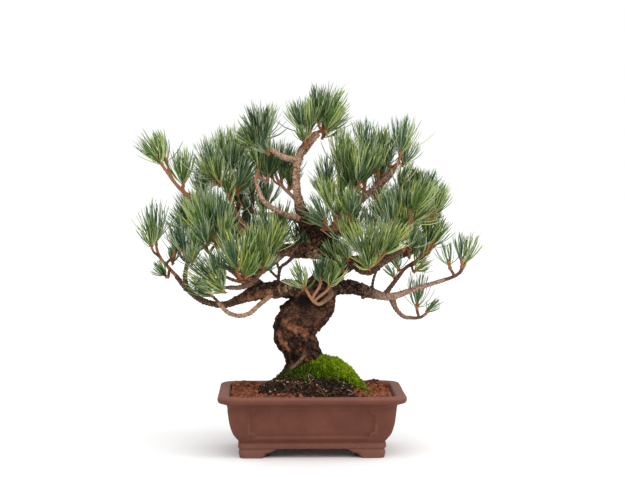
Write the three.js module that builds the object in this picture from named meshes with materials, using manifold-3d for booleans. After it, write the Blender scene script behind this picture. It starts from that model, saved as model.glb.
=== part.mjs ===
// A Japanese white pine trained as a small potted tree: a stoneware pot on four scrolled feet, its soil
// and moss, a twisted trunk, the boughs that it carries, and one solid for each mass of needles.
// Millimetres, +Z up, seen from the front along +Y. Every place is measured from the middle of the pot
// on the ground, and the last lines move the whole plant so that its box stands centred on the origin.
import * as THREE from "three";
import { mergeVertices } from "three/addons/utils/BufferGeometryUtils.js";
import Module from "manifold-3d";

const wasm = await Module();
wasm.setup();

// Driving dimensions
const GAP = 0.3; // clear space between two solids that meet

const POT_HEIGHT = 68; // ground to rim
const RIM_LENGTH = 203;
const RIM_DEPTH = 153;
const RIM_CORNER = 20; // corner radius in plan
const RIM_WIDTH = 12; // flat top of the lip
const FLOOR_HEIGHT = 15; // ground to the inside of the pot
const FOOT_HEIGHT = 10.5;
const FOOT_WALL = 15; // how far a foot runs in under the pot
const PANEL_DEPTH = 1.3; // sunk panel on each side
const PANEL_FOOT = 24; // ground to the panel's lower edge
const PANEL_HEAD = 54;
const PANEL_NOTCH = 6; // corner scoop of the panel
const LONG_PANEL = 66; // half the length of a panel, and of a side's arch at its foot and its head
const LONG_ARCH = [54, 41];
const SHORT_PANEL = 40;
const SHORT_ARCH = [30, 19];
const SOIL_HEIGHT = 66; // level top of the soil, under the trunk
const SOIL_EDGE = 63.5; // soil where it meets the pot
const EARTH = { x: 0, y: -8, halfX: 64, halfY: 46, height: 28 }; // mound of earth at the trunk
const CUSHION = { x: 14, y: -8, halfX: 48, halfY: 40, height: 40 }; // moss on the mound

const LIMB_STEP = 25; // about how far apart a limb's rings are
const BARK_FOLD = 17; // height over which the folds of the bark turn by one radian
const OUTWARD_REACH = 110; // depth over which shoots come to lean forwards or back by one for one
const MOST_FORWARD = -0.45;
const MOST_BACK = 0.6;

const NEEDLE_LENGTH = 37;
const NEEDLE_RADIUS = 0.95; // each spike stands for a bundle of five needles
const NEEDLES_A_SHOOT = 5; // besides the one that ends the shoot
const LOW_TILT = 0.66; // how far the needles at a shoot's foot stand off it, in radians
const HIGH_TILT = 0.3;
const SHOOT_LENGTH = 9; // end of a twig that carries needles
const CORE_RADIUS = 3.6; // slim heart of a tuft, where its needles are close together
const CORE_SHARE = 0.35; // share of the middle needle that the heart takes in
const TIP_RADIUS = 0.15;
const TWIG_RADIUS = 1.5;
const TWIG_STEP = 14; // about how far apart a twig's rings are
const TWIG_PULL = 0.4; // how strongly a twig keeps to the directions of its two ends
const BARE_TWIG = 5; // shortest bare run between a limb and the first fork
const FORK_SHARE = 0.45; // where a side twig forks off, as a share of the way to its own shoot
const FAN_BOW = 6; // how far the middle shoot of a fan stands above its ends
const FAN_STEP = 10; // how far every other shoot of a fan stands back
const FAN_SPREAD = 0.2; // how much further the outer shoots tip

// Small helpers

const vector = (x, y, z) => new THREE.Vector3(x, y, z);

// A closed three.js geometry as a manifold solid.
function solidOf(geometry) {
  const bare = geometry.clone();
  bare.deleteAttribute("normal");
  bare.deleteAttribute("uv");
  const merged = mergeVertices(bare, 1e-4);
  return new wasm.Manifold(
    new wasm.Mesh({
      numProp: 3,
      vertProperties: merged.attributes.position.array,
      triVerts: new Uint32Array(merged.index.array),
    }),
  );
}

// A manifold solid as a three.js geometry. Only its largest body is kept: a cut can leave a crumb.
function geometryOf(solid) {
  const body = solid.decompose().reduce((a, b) => (a.volume() > b.volume() ? a : b));
  const mesh = body.getMesh();
  return new THREE.BufferGeometry()
    .setAttribute("position", new THREE.BufferAttribute(mesh.vertProperties, 3))
    .setIndex(new THREE.BufferAttribute(mesh.triVerts, 1));
}

// Closes a stack of rings, each a list of as many points, into one solid that faces outwards.
function loft(rings) {
  const sides = rings[0].length;
  const index = [];
  for (let row = 0; row + 1 < rings.length; row++) {
    for (let i = 0; i < sides; i++) {
      const a = row * sides + i;
      const b = row * sides + ((i + 1) % sides);
      index.push(a, b, b + sides, a, b + sides, a + sides);
    }
  }
  const last = (rings.length - 1) * sides;
  for (let i = 1; i + 1 < sides; i++) {
    index.push(0, i + 1, i, last, last + i, last + i + 1);
  }
  const points = rings.flat().flatMap((p) => [p.x, p.y, p.z]);
  return solidOf(
    new THREE.BufferGeometry()
      .setAttribute("position", new THREE.Float32BufferAttribute(points, 3))
      .setIndex(index),
  );
}

// Seeded numbers from 0 to 1, the same on every run.
function seeded(seed) {
  let state = seed >>> 0;
  return () => {
    state = (state + 0x6d2b79f5) >>> 0;
    let t = Math.imul(state ^ (state >>> 15), 1 | state);
    t = (t + Math.imul(t ^ (t >>> 7), 61 | t)) ^ t;
    return ((t ^ (t >>> 14)) >>> 0) / 4294967296;
  };
}

// The pot

// A rectangle with round corners at height z.
function roundedRing(halfX, halfY, corner, z) {
  const steps = 3;
  const ring = [];
  for (let quarter = 0; quarter < 4; quarter++) {
    const sx = quarter === 0 || quarter === 3 ? 1 : -1;
    const sy = quarter < 2 ? 1 : -1;
    for (let i = 0; i <= steps; i++) {
      const a = (quarter + i / steps) * (Math.PI / 2);
      ring.push(
        vector(
          sx * (halfX - corner) + corner * Math.cos(a),
          sy * (halfY - corner) + corner * Math.sin(a),
          z,
        ),
      );
    }
  }
  return ring;
}

// Stacks rounded rectangles. A row is its height and how far it lies inside the rim's outline.
function rimmedLoft(rows) {
  return loft(
    rows.map(([z, inset]) => {
      const corner = Math.max(RIM_CORNER - 0.6 * inset, 6);
      return roundedRing(RIM_LENGTH / 2 - inset, RIM_DEPTH / 2 - inset, corner, z);
    }),
  );
}

// The outside from the band above the feet to the lip.
const bodyRows = [
  [FOOT_HEIGHT, 22.5],
  [FOOT_HEIGHT + 1, 22],
  [FOOT_HEIGHT + 5.5, 22],
  [FOOT_HEIGHT + 6.5, 23],
  [20, 21.5],
  [27, 15.8],
  [38, 12.6],
  [54, 10.8],
  [58.3, 9],
  [60, 2.5],
  [62, 0.5],
  [66.5, 0.3],
  [POT_HEIGHT, 2.5],
];

// The inside, from the floor to under the lip.
const insideRows = [
  [FLOOR_HEIGHT, 33],
  [FLOOR_HEIGHT + 6, 28],
  [40, 21],
  [58, RIM_WIDTH + 2],
];

// A panel's outline: a rectangle whose corners are scooped out, drawn about its own middle.
function panelShape(halfLength, halfHeight) {
  const n = PANEL_NOTCH;
  const shape = new THREE.Shape();
  shape.moveTo(-halfLength + n, -halfHeight);
  shape.lineTo(halfLength - n, -halfHeight);
  shape.absarc(halfLength, -halfHeight, n, Math.PI, Math.PI / 2, true);
  shape.lineTo(halfLength, halfHeight - n);
  shape.absarc(halfLength, halfHeight, n, -Math.PI / 2, -Math.PI, true);
  shape.lineTo(-halfLength + n, halfHeight);
  shape.absarc(-halfLength, halfHeight, n, 0, -Math.PI / 2, true);
  shape.lineTo(-halfLength, -halfHeight + n);
  shape.absarc(-halfLength, -halfHeight, n, Math.PI / 2, 0, true);
  return shape;
}

// The outline of the gap between two feet: it narrows upwards in a scroll.
function archShape([halfFoot, halfHead]) {
  const top = FOOT_HEIGHT;
  const shape = new THREE.Shape();
  shape.moveTo(-halfFoot, -1);
  shape.lineTo(halfFoot, -1);
  shape.lineTo(halfFoot, 0.6);
  shape.bezierCurveTo(halfFoot - 1, top * 0.75, halfHead + 5, top * 0.35, halfHead, top * 0.85);
  shape.lineTo(halfHead - 4, top);
  shape.lineTo(-halfHead + 4, top);
  shape.lineTo(-halfHead, top * 0.85);
  shape.bezierCurveTo(-halfHead - 5, top * 0.35, -halfFoot + 1, top * 0.75, -halfFoot, 0.6);
  return shape;
}

// Extrudes an outline through the pot, across its depth or, turned, across its length.
function throughPot(shape, length, turned, height) {
  const bar = new THREE.ExtrudeGeometry(shape, { depth: length, bevelEnabled: false, curveSegments: 3 });
  bar.translate(0, 0, -length / 2);
  bar.rotateX(Math.PI / 2);
  if (turned) bar.rotateZ(Math.PI / 2);
  bar.translate(0, 0, height);
  return solidOf(bar);
}

function makePot() {
  const outer = rimmedLoft(bodyRows);
  const inside = rimmedLoft([
    ...insideRows,
    [POT_HEIGHT - 1, RIM_WIDTH],
    [POT_HEIGHT + 1, RIM_WIDTH - 1],
  ]);
  const sunk = rimmedLoft(bodyRows.map(([z, inset]) => [z, inset + PANEL_DEPTH]));
  const middle = (PANEL_FOOT + PANEL_HEAD) / 2;
  const halfHeight = (PANEL_HEAD - PANEL_FOOT) / 2;
  const longPanel = throughPot(panelShape(LONG_PANEL, halfHeight), 2 * RIM_DEPTH, false, middle);
  const shortPanel = throughPot(panelShape(SHORT_PANEL, halfHeight), 2 * RIM_LENGTH, true, middle);
  const footRing = rimmedLoft([
    [0, 23.5],
    [FOOT_HEIGHT * 0.7, 22.7],
    [FOOT_HEIGHT + 0.5, 23.1],
  ]);
  const underPot = rimmedLoft([
    [-1, 23.5 + FOOT_WALL],
    [FOOT_HEIGHT, 22.5 + FOOT_WALL],
  ]);
  const feet = footRing
    .subtract(underPot)
    .subtract(throughPot(archShape(LONG_ARCH), 2 * RIM_DEPTH, false, 0))
    .subtract(throughPot(archShape(SHORT_ARCH), 2 * RIM_LENGTH, true, 0));
  return outer
    .subtract(inside)
    .subtract(longPanel.add(shortPanel).subtract(sunk))
    .add(feet);
}

// Trunk and boughs

// A limb runs through a few [x, y, z, radius] places, from its root to its tip.
const trunkPath = [
  [-6, -2, 56, 36],
  [-6, -2, 80, 26.5],
  [-6.5, -3, 100, 20.2],
  [-13.5, -3, 117, 20.2],
  [-21, -3, 131, 21],
  [-13, -4, 146, 23.2],
  [3, -3, 160, 22],
  [10.5, 0, 175, 18.4],
  [19, 4, 190, 17],
  [25, 6, 204, 14],
  [24, 6, 216, 14.2],
  [8, 2, 238, 10.6],
  [-7, 0, 256, 7.6],
  [-15, -2, 282, 4.6],
  [-15.5, 0, 315, 4.2],
  [-7, 2, 334, 5],
  [7, 4, 349.5, 3.9],
];

// Each bough starts inside its parent, which is cut out of its root.
const boughList = [
  {
    name: "low_left",
    parent: "trunk",
    sides: 7,
    path: [
      [-2, 0, 176, 10], [-36, -7, 178.5, 9.6], [-60, -8, 175.5, 8.8], [-77, -8, 168, 5.4],
      [-97, -7, 161.5, 3.6], [-119, -5, 166, 3.4], [-136, -4, 178.5, 2.9],
      [-148, 1, 192.5, 2.4],
    ],
  },
  {
    name: "low_left_rise",
    parent: "low_left",
    sides: 5,
    path: [
      [-136.5, -4, 178, 2.6], [-138, -8, 192, 2.5], [-135.5, -13, 207, 2.2],
    ],
  },
  {
    name: "low_left_back",
    parent: "low_left",
    sides: 5,
    path: [
      [-48, -4, 176, 4], [-72, 18, 186, 3], [-98, 28, 204, 2.3],
    ],
  },
  {
    name: "low_left_sling",
    parent: "low_left",
    sides: 5,
    path: [
      [-44, -11, 173, 2.6], [-57, -20, 162.5, 2.5], [-68, -25, 153.5, 2.4], [-80, -28, 151.5, 2.4],
      [-92, -29, 156, 2.3], [-101, -28, 166, 2],
    ],
  },
  {
    name: "mid_left",
    parent: "trunk",
    sides: 7,
    path: [
      [20, 8, 220, 8.2], [-14, 8, 220, 8.2], [-30, 6, 220, 6.6], [-46, 1, 211.5, 4.2],
    ],
  },
  {
    name: "mid_left_front",
    parent: "mid_left",
    sides: 6,
    path: [
      [-33, 2, 216, 3.6], [-43.5, -8.5, 206.5, 3.6], [-55.5, -13.5, 198, 3.6], [-65, -19, 187, 3.5],
      [-77, -24, 182, 2.8], [-90, -28, 182, 2.3],
    ],
  },
  {
    name: "mid_left_fork",
    parent: "mid_left_front",
    sides: 5,
    path: [
      [-64.5, -18, 188, 3.1], [-75, -16, 198, 3.1], [-87, -15, 213, 2.9], [-99, -17, 228, 2.3],
    ],
  },
  {
    name: "upper_left",
    parent: "mid_left",
    sides: 5,
    path: [
      [-28, 8, 222, 4.4], [-60, 24, 234, 3.4], [-98, 25, 253, 2.7], [-132, 15, 278, 2.3],
    ],
  },
  {
    name: "crown_left",
    parent: "upper_left",
    sides: 5,
    path: [
      [-62, 24, 235, 3], [-80, 28, 256, 2.5], [-92, 20, 282, 2.1],
    ],
  },
  {
    name: "leader_left",
    parent: "trunk",
    sides: 5,
    path: [
      [-16, 0, 320, 3.2], [-30, -9, 323, 2.9], [-45, -18, 332, 2.4],
    ],
  },
  {
    name: "hook",
    parent: "trunk",
    sides: 6,
    path: [
      [-8, 0, 256, 3.8], [-28, -8, 260, 3.2], [-51, -13, 274, 2.8], [-60, -7, 294, 2.2],
    ],
  },
  {
    name: "upper_right",
    parent: "trunk",
    sides: 6,
    path: [
      [12, 5, 234, 5.6], [37, 16, 256, 4.7], [57, 14, 277, 3.9], [84, 8, 300, 3.3], [90, 6, 308, 3],
    ],
  },
  {
    name: "upper_right_front",
    parent: "upper_right",
    sides: 5,
    path: [
      [34, 15, 254, 3.2], [36, 0, 268, 2.6], [34, -10, 284, 2.2],
    ],
  },
  {
    name: "mid_right",
    parent: "trunk",
    sides: 7,
    path: [
      [24, 0, 222, 5.6], [42, -22, 210, 5.4], [60, -37, 201, 5.6], [80, -38, 213, 4.3],
      [97, -34, 222, 2.7],
    ],
  },
  {
    name: "mid_right_back",
    parent: "trunk",
    sides: 6,
    path: [
      [26, 8, 212, 6.6], [52, 23, 208, 5.5], [84, 30, 210, 4.9], [110, 30, 217, 3.5],
      [122, 28, 226, 2.4],
    ],
  },
  {
    name: "mid_right_rise",
    parent: "mid_right_back",
    sides: 5,
    path: [
      [86, 30, 211, 3.6], [97, 18, 232, 2.8], [104, 4, 256, 2.2],
    ],
  },
  {
    name: "low_right",
    parent: "trunk",
    sides: 7,
    path: [
      [12, 0, 178, 8.4], [42, -4, 181, 7.8], [60, -7, 176.5, 7.4], [76, -9, 171.5, 4.9],
      [90, -10, 171, 4.1], [111, -9, 178, 2.8], [146, -6, 188.5, 2.2],
    ],
  },
  {
    name: "low_right_drop",
    parent: "low_right",
    sides: 5,
    path: [
      [88, -9, 169, 3.1], [93, -4, 156.6, 2.5], [102, 1, 147.5, 2.2], [111, 4, 146, 2.1],
    ],
  },
  {
    name: "low_right_twig",
    parent: "low_right",
    sides: 5,
    path: [
      [81, -8, 173, 2.4], [89, 0, 182.5, 2.3], [100, 8, 196, 2.1],
    ],
  },
  {
    name: "front_twig",
    parent: "trunk",
    sides: 5,
    path: [
      [16, -6, 182, 3.4], [21, -24, 174, 2.8], [11, -36, 166, 2.2],
    ],
  },
  {
    name: "back_left",
    parent: "trunk",
    sides: 6,
    path: [
      [6, 8, 170, 8], [-18, 36, 171, 5.8], [-50, 50, 176, 4.2], [-82, 58, 205, 2.6],
    ],
  },
  {
    name: "back_middle",
    parent: "trunk",
    sides: 5,
    path: [
      [-4, 2, 250, 4.6], [-22, 26, 257, 3.4], [-46, 44, 259, 2.4],
    ],
  },
  {
    name: "back_high",
    parent: "trunk",
    sides: 5,
    path: [
      [14, 6, 224, 5.4], [30, 36, 244, 4], [46, 50, 272, 2.4],
    ],
  },
  {
    name: "back_right",
    parent: "trunk",
    sides: 6,
    path: [
      [20, 8, 192, 7], [36, 38, 196, 5.2], [60, 54, 208, 4], [86, 58, 224, 2.6],
    ],
  },
];

// A curve through numbers of any count, as a function of the share 0 to 1 of its run.
function splineOf(path) {
  const run = (values) =>
    new THREE.CatmullRomCurve3(values.map((v) => vector(...v)), false, "catmullrom", 0.5);
  const places = run(path.map(([x, y, z]) => [x, y, z]));
  const radii = run(path.map((place) => [place[3], 0, 0]));
  return (share) => ({
    at: places.getPoint(share),
    along: places.getTangent(share),
    radius: radii.getPoint(share).x,
  });
}

// Stations of a limb, from its root to its tip, about so far apart.
function stationsOf(path, apart) {
  const spline = splineOf(path);
  const steps = Math.round(spline(0).at.distanceTo(spline(1).at) / apart) + path.length - 1;
  return Array.from({ length: steps + 1 }, (_, i) => spline(i / steps));
}

// How far the bark stands in or out of round at an angle and a height: long folds that wind upwards.
function foldOf(angle, z) {
  return Math.sin(3 * angle + z / BARK_FOLD) + 0.7 * Math.sin(2 * angle - (0.6 * z) / BARK_FOLD);
}

// Rings of points round a run of stations, closed into a solid. grow adds clear space all round, for
// cutting a neighbour. gnarl is how uneven the rings are.
function tube(stations, sides, { grow = 0, gnarl = 0 } = {}) {
  let side = vector(1, 0, 0);
  const last = stations.length - 1;
  const rings = stations.map(({ at, along, radius }, row) => {
    side = side.clone().addScaledVector(along, -side.dot(along)).normalize();
    const up = along.clone().cross(side);
    const longer = row === 0 ? -grow : row === last ? grow : 0;
    return Array.from({ length: sides }, (_, i) => {
      const angle = (i * 2 * Math.PI) / sides;
      const reach = radius * (1 + gnarl * foldOf(angle, at.z)) + grow;
      return at
        .clone()
        .addScaledVector(along, longer)
        .addScaledVector(side, reach * Math.cos(angle))
        .addScaledVector(up, reach * Math.sin(angle));
    });
  });
  return loft(rings);
}

const limbs = { trunk: { path: trunkPath, sides: 11, gnarl: 0.05 } };
for (const { name, sides, path } of boughList) {
  limbs[name] = { path, sides, gnarl: 0.02 };
}

function limbSolid(name, grow = 0) {
  const { path, sides, gnarl } = limbs[name];
  return tube(stationsOf(path, LIMB_STEP), sides, { grow, gnarl });
}

// Space that limbs, twigs and needles have taken, as short round-ended rods.
const taken = [];

function take(owner, stations) {
  for (let i = 1; i < stations.length; i++) {
    const radius = Math.max(stations[i - 1].radius, stations[i].radius);
    taken.push({ owner, a: stations[i - 1].at, b: stations[i].at, radius });
  }
}

for (const [name, { path }] of Object.entries(limbs)) {
  take(name, stationsOf(path, LIMB_STEP / 3));
}

// The shortest way between two straight pieces.
function distanceBetween(a, b, c, d) {
  const u = b.clone().sub(a);
  const v = d.clone().sub(c);
  const w = a.clone().sub(c);
  const [uu, uv, vv, uw, vw] = [u.dot(u), u.dot(v), v.dot(v), u.dot(w), v.dot(w)];
  const clamp = (x) => Math.min(1, Math.max(0, x));
  const spread = uu * vv - uv * uv;
  const first = spread > 1e-9 ? clamp((uv * vw - vv * uw) / spread) : 0;
  const t = clamp((uv * first + vw) / vv);
  const s = clamp((uv * t - uw) / uu);
  return w.addScaledVector(u, s).addScaledVector(v, -t).length();
}

function isClear(owner, a, b, radius) {
  return taken.every(
    (rod) => rod.owner === owner || distanceBetween(a, b, rod.a, rod.b) > radius + rod.radius + GAP,
  );
}

// Masses of needles

// A mass grows from the tip of its limb, or from the side of it at a share of its length. A fan in it is
// one shoot, or several at even steps along a line whose middle is at and whose half is half. lean is how
// far its shoots tip sideways for each step up, and size is their size beside a full one.
const massList = [
  {
    name: "far_left_high",
    limb: "upper_left",
    fans: [
      { at: [-164, 8, 315], lean: -0.7, size: 0.95 },
      { at: [-159, 13, 317], lean: -0.35, size: 0.9 },
      { at: [-141, 14, 292], lean: -0.05 },
      { at: [-121, 24, 281], lean: 0.1, size: 0.8 },
    ],
  },
  {
    name: "left_crown",
    limb: "crown_left",
    fans: [
      { at: [-97, 16, 306], lean: -0.05, count: 3, half: [10, 9, 8], size: 1.1 },
      { at: [-80, 12, 289], lean: 0.4 },
    ],
  },
  {
    name: "left_back",
    limb: "low_left_back",
    fans: [{ at: [-117, 32, 240], lean: -0.15, count: 4, half: [14, -4, -7] }],
  },
  {
    name: "far_left_low",
    limb: "low_left",
    fans: [
      { at: [-170.5, 9, 228], lean: -0.05, size: 1.1 },
      { at: [-149, -8, 219], lean: 0.1, size: 0.7 },
      { at: [-158, -12, 193], lean: -0.7, size: 0.5 },
    ],
  },
  {
    name: "left_front",
    limb: "mid_left_front",
    fans: [
      { at: [-103, -36, 186], lean: -1.1, size: 0.95 },
      { at: [-99, -35, 189], lean: -0.25, size: 0.9 },
    ],
  },
  {
    name: "left_sling",
    limb: "low_left_sling",
    fans: [{ at: [-107, -25, 172], lean: -1, size: 0.8 }],
  },
  {
    name: "left_middle",
    limb: "mid_left_fork",
    fans: [{ at: [-107, -20, 240], lean: -0.1, count: 3, half: [9, 6, -2], size: 1.15 }],
  },
  {
    name: "left_inner",
    limb: "mid_left",
    fans: [
      { at: [-76, -42, 203], lean: -0.05, count: 2, half: [4, 3, 2], size: 1.1 },
      { at: [-53, -32, 212], lean: 0.15, count: 2, half: [5, 4, 2], size: 1.05 },
      { at: [-41, -10, 236], lean: 0, count: 2, half: [7, 6, 3], size: 0.9 },
    ],
  },
  {
    name: "upper_left_tip",
    limb: "leader_left",
    fans: [
      { at: [-54, -20, 341], lean: 0, count: 2, half: [2, 4, 1], size: 0.95 },
      { at: [-59, -21, 334], lean: -1, size: 0.7 },
    ],
  },
  {
    name: "hook_tip",
    limb: "hook",
    fans: [
      { at: [-58, 4, 313], lean: -0.1, size: 0.8 },
      { at: [-48, 6, 299], lean: 0.1, size: 0.8 },
    ],
  },
  {
    name: "leader_back",
    limb: "trunk",
    share: 0.79,
    fans: [
      { at: [-36, 20, 306], lean: 0, count: 2, half: [4, 3, -2], size: 0.9 },
      { at: [-24, 14, 296], lean: 0, size: 0.85 },
    ],
  },
  {
    name: "apex",
    limb: "trunk",
    fans: [
      { at: [11, 3, 358], lean: 0.2, count: 2, half: [2.5, 4, 0], size: 1.1 },
      { at: [19, 8, 354], lean: 0.6, size: 0.8 },
    ],
  },
  {
    name: "apex_left",
    limb: "trunk",
    share: 0.92,
    fans: [
      { at: [-1, -10, 351], lean: -0.05, size: 0.9 },
      { at: [-10.5, -3, 351], lean: -0.25, size: 0.85 },
      { at: [-3, 15, 350], lean: 0, size: 0.8 },
    ],
  },
  {
    name: "right_crown",
    limb: "upper_right_front",
    fans: [
      { at: [30, -8, 314], lean: 0.1 },
      { at: [18, -14, 290], lean: -0.15, size: 0.85 },
      { at: [47, -25, 297], lean: 0.1, count: 2, half: [4, -6, -4], size: 1.1 },
    ],
  },
  {
    name: "right_rise",
    limb: "upper_right",
    share: 0.51,
    fans: [
      { at: [61, 6, 323], lean: -0.1 },
      { at: [74, 14, 316], lean: 0.1 },
    ],
  },
  {
    name: "right_top",
    limb: "upper_right",
    fans: [
      { at: [98, 4, 325], lean: 0.15 },
      { at: [86, 18, 314], lean: -0.1 },
    ],
  },
  {
    name: "right_shoulder",
    limb: "mid_right_rise",
    fans: [
      { at: [95, -16, 287], lean: 0.4, size: 0.8 },
      { at: [119, -6, 281], lean: 0.1, count: 2, half: [4, 6, -2], size: 0.75 },
    ],
  },
  {
    name: "right_out",
    limb: "mid_right_back",
    fans: [
      { at: [131, 4, 262], lean: 0.1, count: 3, half: [6, 10, -2], size: 0.85 },
      { at: [115, 44, 240], lean: 0.1, count: 3, half: [14, -6, 2], size: 0.95 },
    ],
  },
  {
    name: "trunk_front",
    limb: "trunk",
    share: 0.7,
    fans: [
      { at: [26, -30, 269], lean: -0.1, count: 2, half: [5, 3, 1], size: 0.85 },
      { at: [15, -26, 252], lean: -0.5, size: 0.8 },
      { at: [41, -44, 260], lean: 0, size: 0.85 },
    ],
  },
  {
    name: "heart_front",
    limb: "trunk",
    share: 0.66,
    fans: [
      { at: [39, -37, 228], lean: -0.15, size: 0.9 },
      { at: [45, -22, 243], lean: 0.1, size: 0.85 },
      { at: [26, -48, 209], lean: -0.6, size: 0.7 },
    ],
  },
  {
    name: "front_right",
    limb: "mid_right",
    share: 0.48,
    fans: [
      { at: [60, -50, 217], lean: -0.1, count: 2, half: [5, 3, 0], size: 1.05 },
      { at: [76, -56, 219], lean: 0.6 },
    ],
  },
  {
    name: "right_middle",
    limb: "mid_right",
    fans: [
      { at: [95, -26, 247], lean: -0.05, count: 3, half: [8, 5, 0], size: 1.05 },
      { at: [106, -38, 225], lean: 0.3, size: 0.7 },
      { at: [108, -42, 264], lean: 0.55 },
    ],
  },
  {
    name: "far_right",
    limb: "low_right",
    fans: [
      { at: [167, -3, 205], lean: 0.12, count: 2, half: [2, 4, 0], size: 0.85 },
      { at: [151, -14, 203], lean: -0.3, size: 0.75 },
    ],
  },
  {
    name: "right_drop",
    limb: "low_right_drop",
    fans: [
      { at: [117, 6, 156], lean: 0.05, size: 1 },
      { at: [127, 3, 151], lean: 0.9, size: 0.5 },
    ],
  },
  {
    name: "right_twig",
    limb: "low_right_twig",
    fans: [
      { at: [131, 0, 225], lean: 0.3, count: 2, half: [3, 5, 0], size: 0.8 },
      { at: [114, 4, 206], lean: 0.7, size: 0.7 },
      { at: [97, 5, 199], lean: -0.3, size: 0.6 },
    ],
  },
  {
    name: "front",
    limb: "front_twig",
    fans: [
      { at: [-7, -50, 182], lean: -0.5, size: 0.8 },
      { at: [9, -51, 189], lean: 0, size: 0.8 },
      { at: [18, -46, 183], lean: 0.45, size: 0.8 },
    ],
  },
  {
    name: "back_left_tip",
    limb: "back_left",
    fans: [{ at: [-90, 64, 236], lean: -0.2, count: 4, half: [20, -6, -3] }],
  },
  {
    name: "back_middle_tip",
    limb: "back_middle",
    fans: [{ at: [-64, 50, 270], lean: -0.15, count: 3, half: [13, 5, -3], size: 0.9 }],
  },
  {
    name: "back_high_tip",
    limb: "back_high",
    fans: [{ at: [60, 48, 292], lean: 0.1, count: 3, half: [16, 5, -3] }],
  },
  {
    name: "back_right_tip",
    limb: "back_right",
    fans: [{ at: [98, 64, 244], lean: 0.2, count: 4, half: [20, 6, -3] }],
  },
  {
    name: "trunk_back",
    limb: "trunk",
    share: 0.62,
    fans: [
      { at: [-6, 28, 229], lean: -0.05 },
      { at: [16, 50, 230], lean: 0.1, count: 2, half: [14, -3, 6] },
    ],
  },
  {
    name: "left_rise",
    limb: "low_left_rise",
    fans: [{ at: [-133, -19, 217], lean: -0.05, count: 2, half: [5, -5, 1] }],
  },
];

// The shoots of a fan. A long fan is bowed up in the middle, with every other shoot further back, and
// its outer shoots tip further out. Each one also leans to whichever side of the tree it is on.
function shootsOf({ at: [x, y, z], lean, count = 1, half: [dx, dy, dz] = [0, 0, 0], size = 1 }) {
  return Array.from({ length: count }, (_, k) => {
    const t = count > 1 ? (2 * k) / (count - 1) - 1 : 0;
    const bow = count > 2 ? FAN_BOW * (1 - t * t) : 0;
    const back = count > 2 ? FAN_STEP * (k % 2) : 0;
    const base = vector(x + t * dx, y + t * dy + back, z + t * dz + bow);
    const outward = THREE.MathUtils.clamp(base.y / OUTWARD_REACH, MOST_FORWARD, MOST_BACK);
    return { base, size, along: vector(lean + FAN_SPREAD * t, outward, 1).normalize() };
  });
}

// A twig's stations: it leaves along one direction and turns to arrive along another.
function bend(from, leaving, to, arriving, radiusA, radiusB) {
  const pull = TWIG_PULL * from.distanceTo(to);
  const curve = new THREE.CubicBezierCurve3(
    from,
    from.clone().addScaledVector(leaving, pull),
    to.clone().addScaledVector(arriving, -pull),
    to,
  );
  const steps = THREE.MathUtils.clamp(Math.round(from.distanceTo(to) / TWIG_STEP), 1, 3);
  return Array.from({ length: steps + 1 }, (_, i) => ({
    at: curve.getPoint(i / steps),
    along: curve.getTangent(i / steps),
    radius: THREE.MathUtils.lerp(radiusA, radiusB, i / steps),
  }));
}

// A mass's twigs. The one to the furthest shoot leads on from the limb, and the others fork off it.
function layOut({ name, limb, share = 1, fans }, order) {
  const root = splineOf(limbs[limb].path)(share);
  const onSide = share < 1;
  const shoots = fans.flatMap(shootsOf);
  shoots.sort((a, b) => b.base.distanceTo(root.at) - a.base.distanceTo(root.at));
  const leaving = onSide ? shoots[0].base.clone().sub(root.at).normalize() : root.along;
  const thick = Math.min(TWIG_RADIUS * (1 + 0.12 * shoots.length), root.radius);
  const reach = shoots[0].base.distanceTo(root.at);
  const bare = (BARE_TWIG + (onSide ? root.radius : 0)) / reach;
  const leader = new THREE.CatmullRomCurve3(
    bend(root.at, leaving, shoots[0].base, shoots[0].along, thick, TWIG_RADIUS).map((s) => s.at),
  );
  shoots.forEach((shoot, i) => {
    shoot.name = name + "." + i;
    const fork = Math.max(bare, (FORK_SHARE * shoot.base.distanceTo(root.at)) / reach);
    const from = i === 0 ? root.at : leader.getPoint(fork);
    const way = i === 0 ? leaving : leader.getTangent(fork);
    const start = i === 0 ? thick : TWIG_RADIUS * 1.1;
    shoot.twig = bend(from, way, shoot.base, shoot.along, start, TWIG_RADIUS);
  });
  return { name, limb, shoots, random: seeded(101 + 17 * order), pieces: [] };
}

// The heart of a tuft: a spindle that goes on from the twig, where its needles are close together, and
// ends in the needle that stands up along the shoot.
function heartOf({ base, along, size }) {
  const rows = [
    [SHOOT_LENGTH, CORE_RADIUS],
    [SHOOT_LENGTH + NEEDLE_LENGTH * CORE_SHARE, NEEDLE_RADIUS * 1.2],
    [SHOOT_LENGTH + NEEDLE_LENGTH * 0.92, TIP_RADIUS],
  ];
  return rows.map(([up, radius]) => ({
    at: base.clone().addScaledVector(along, up * size),
    along,
    radius: radius * size,
  }));
}

// Makes a mass's twigs and hearts, each twig and its heart in one run, and takes up their space.
function growTwigs(mass) {
  for (const shoot of mass.shoots) {
    const run = [...shoot.twig, ...heartOf(shoot)];
    mass.pieces.push(tube(run, 3));
    take(shoot.name, run);
  }
}

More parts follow.
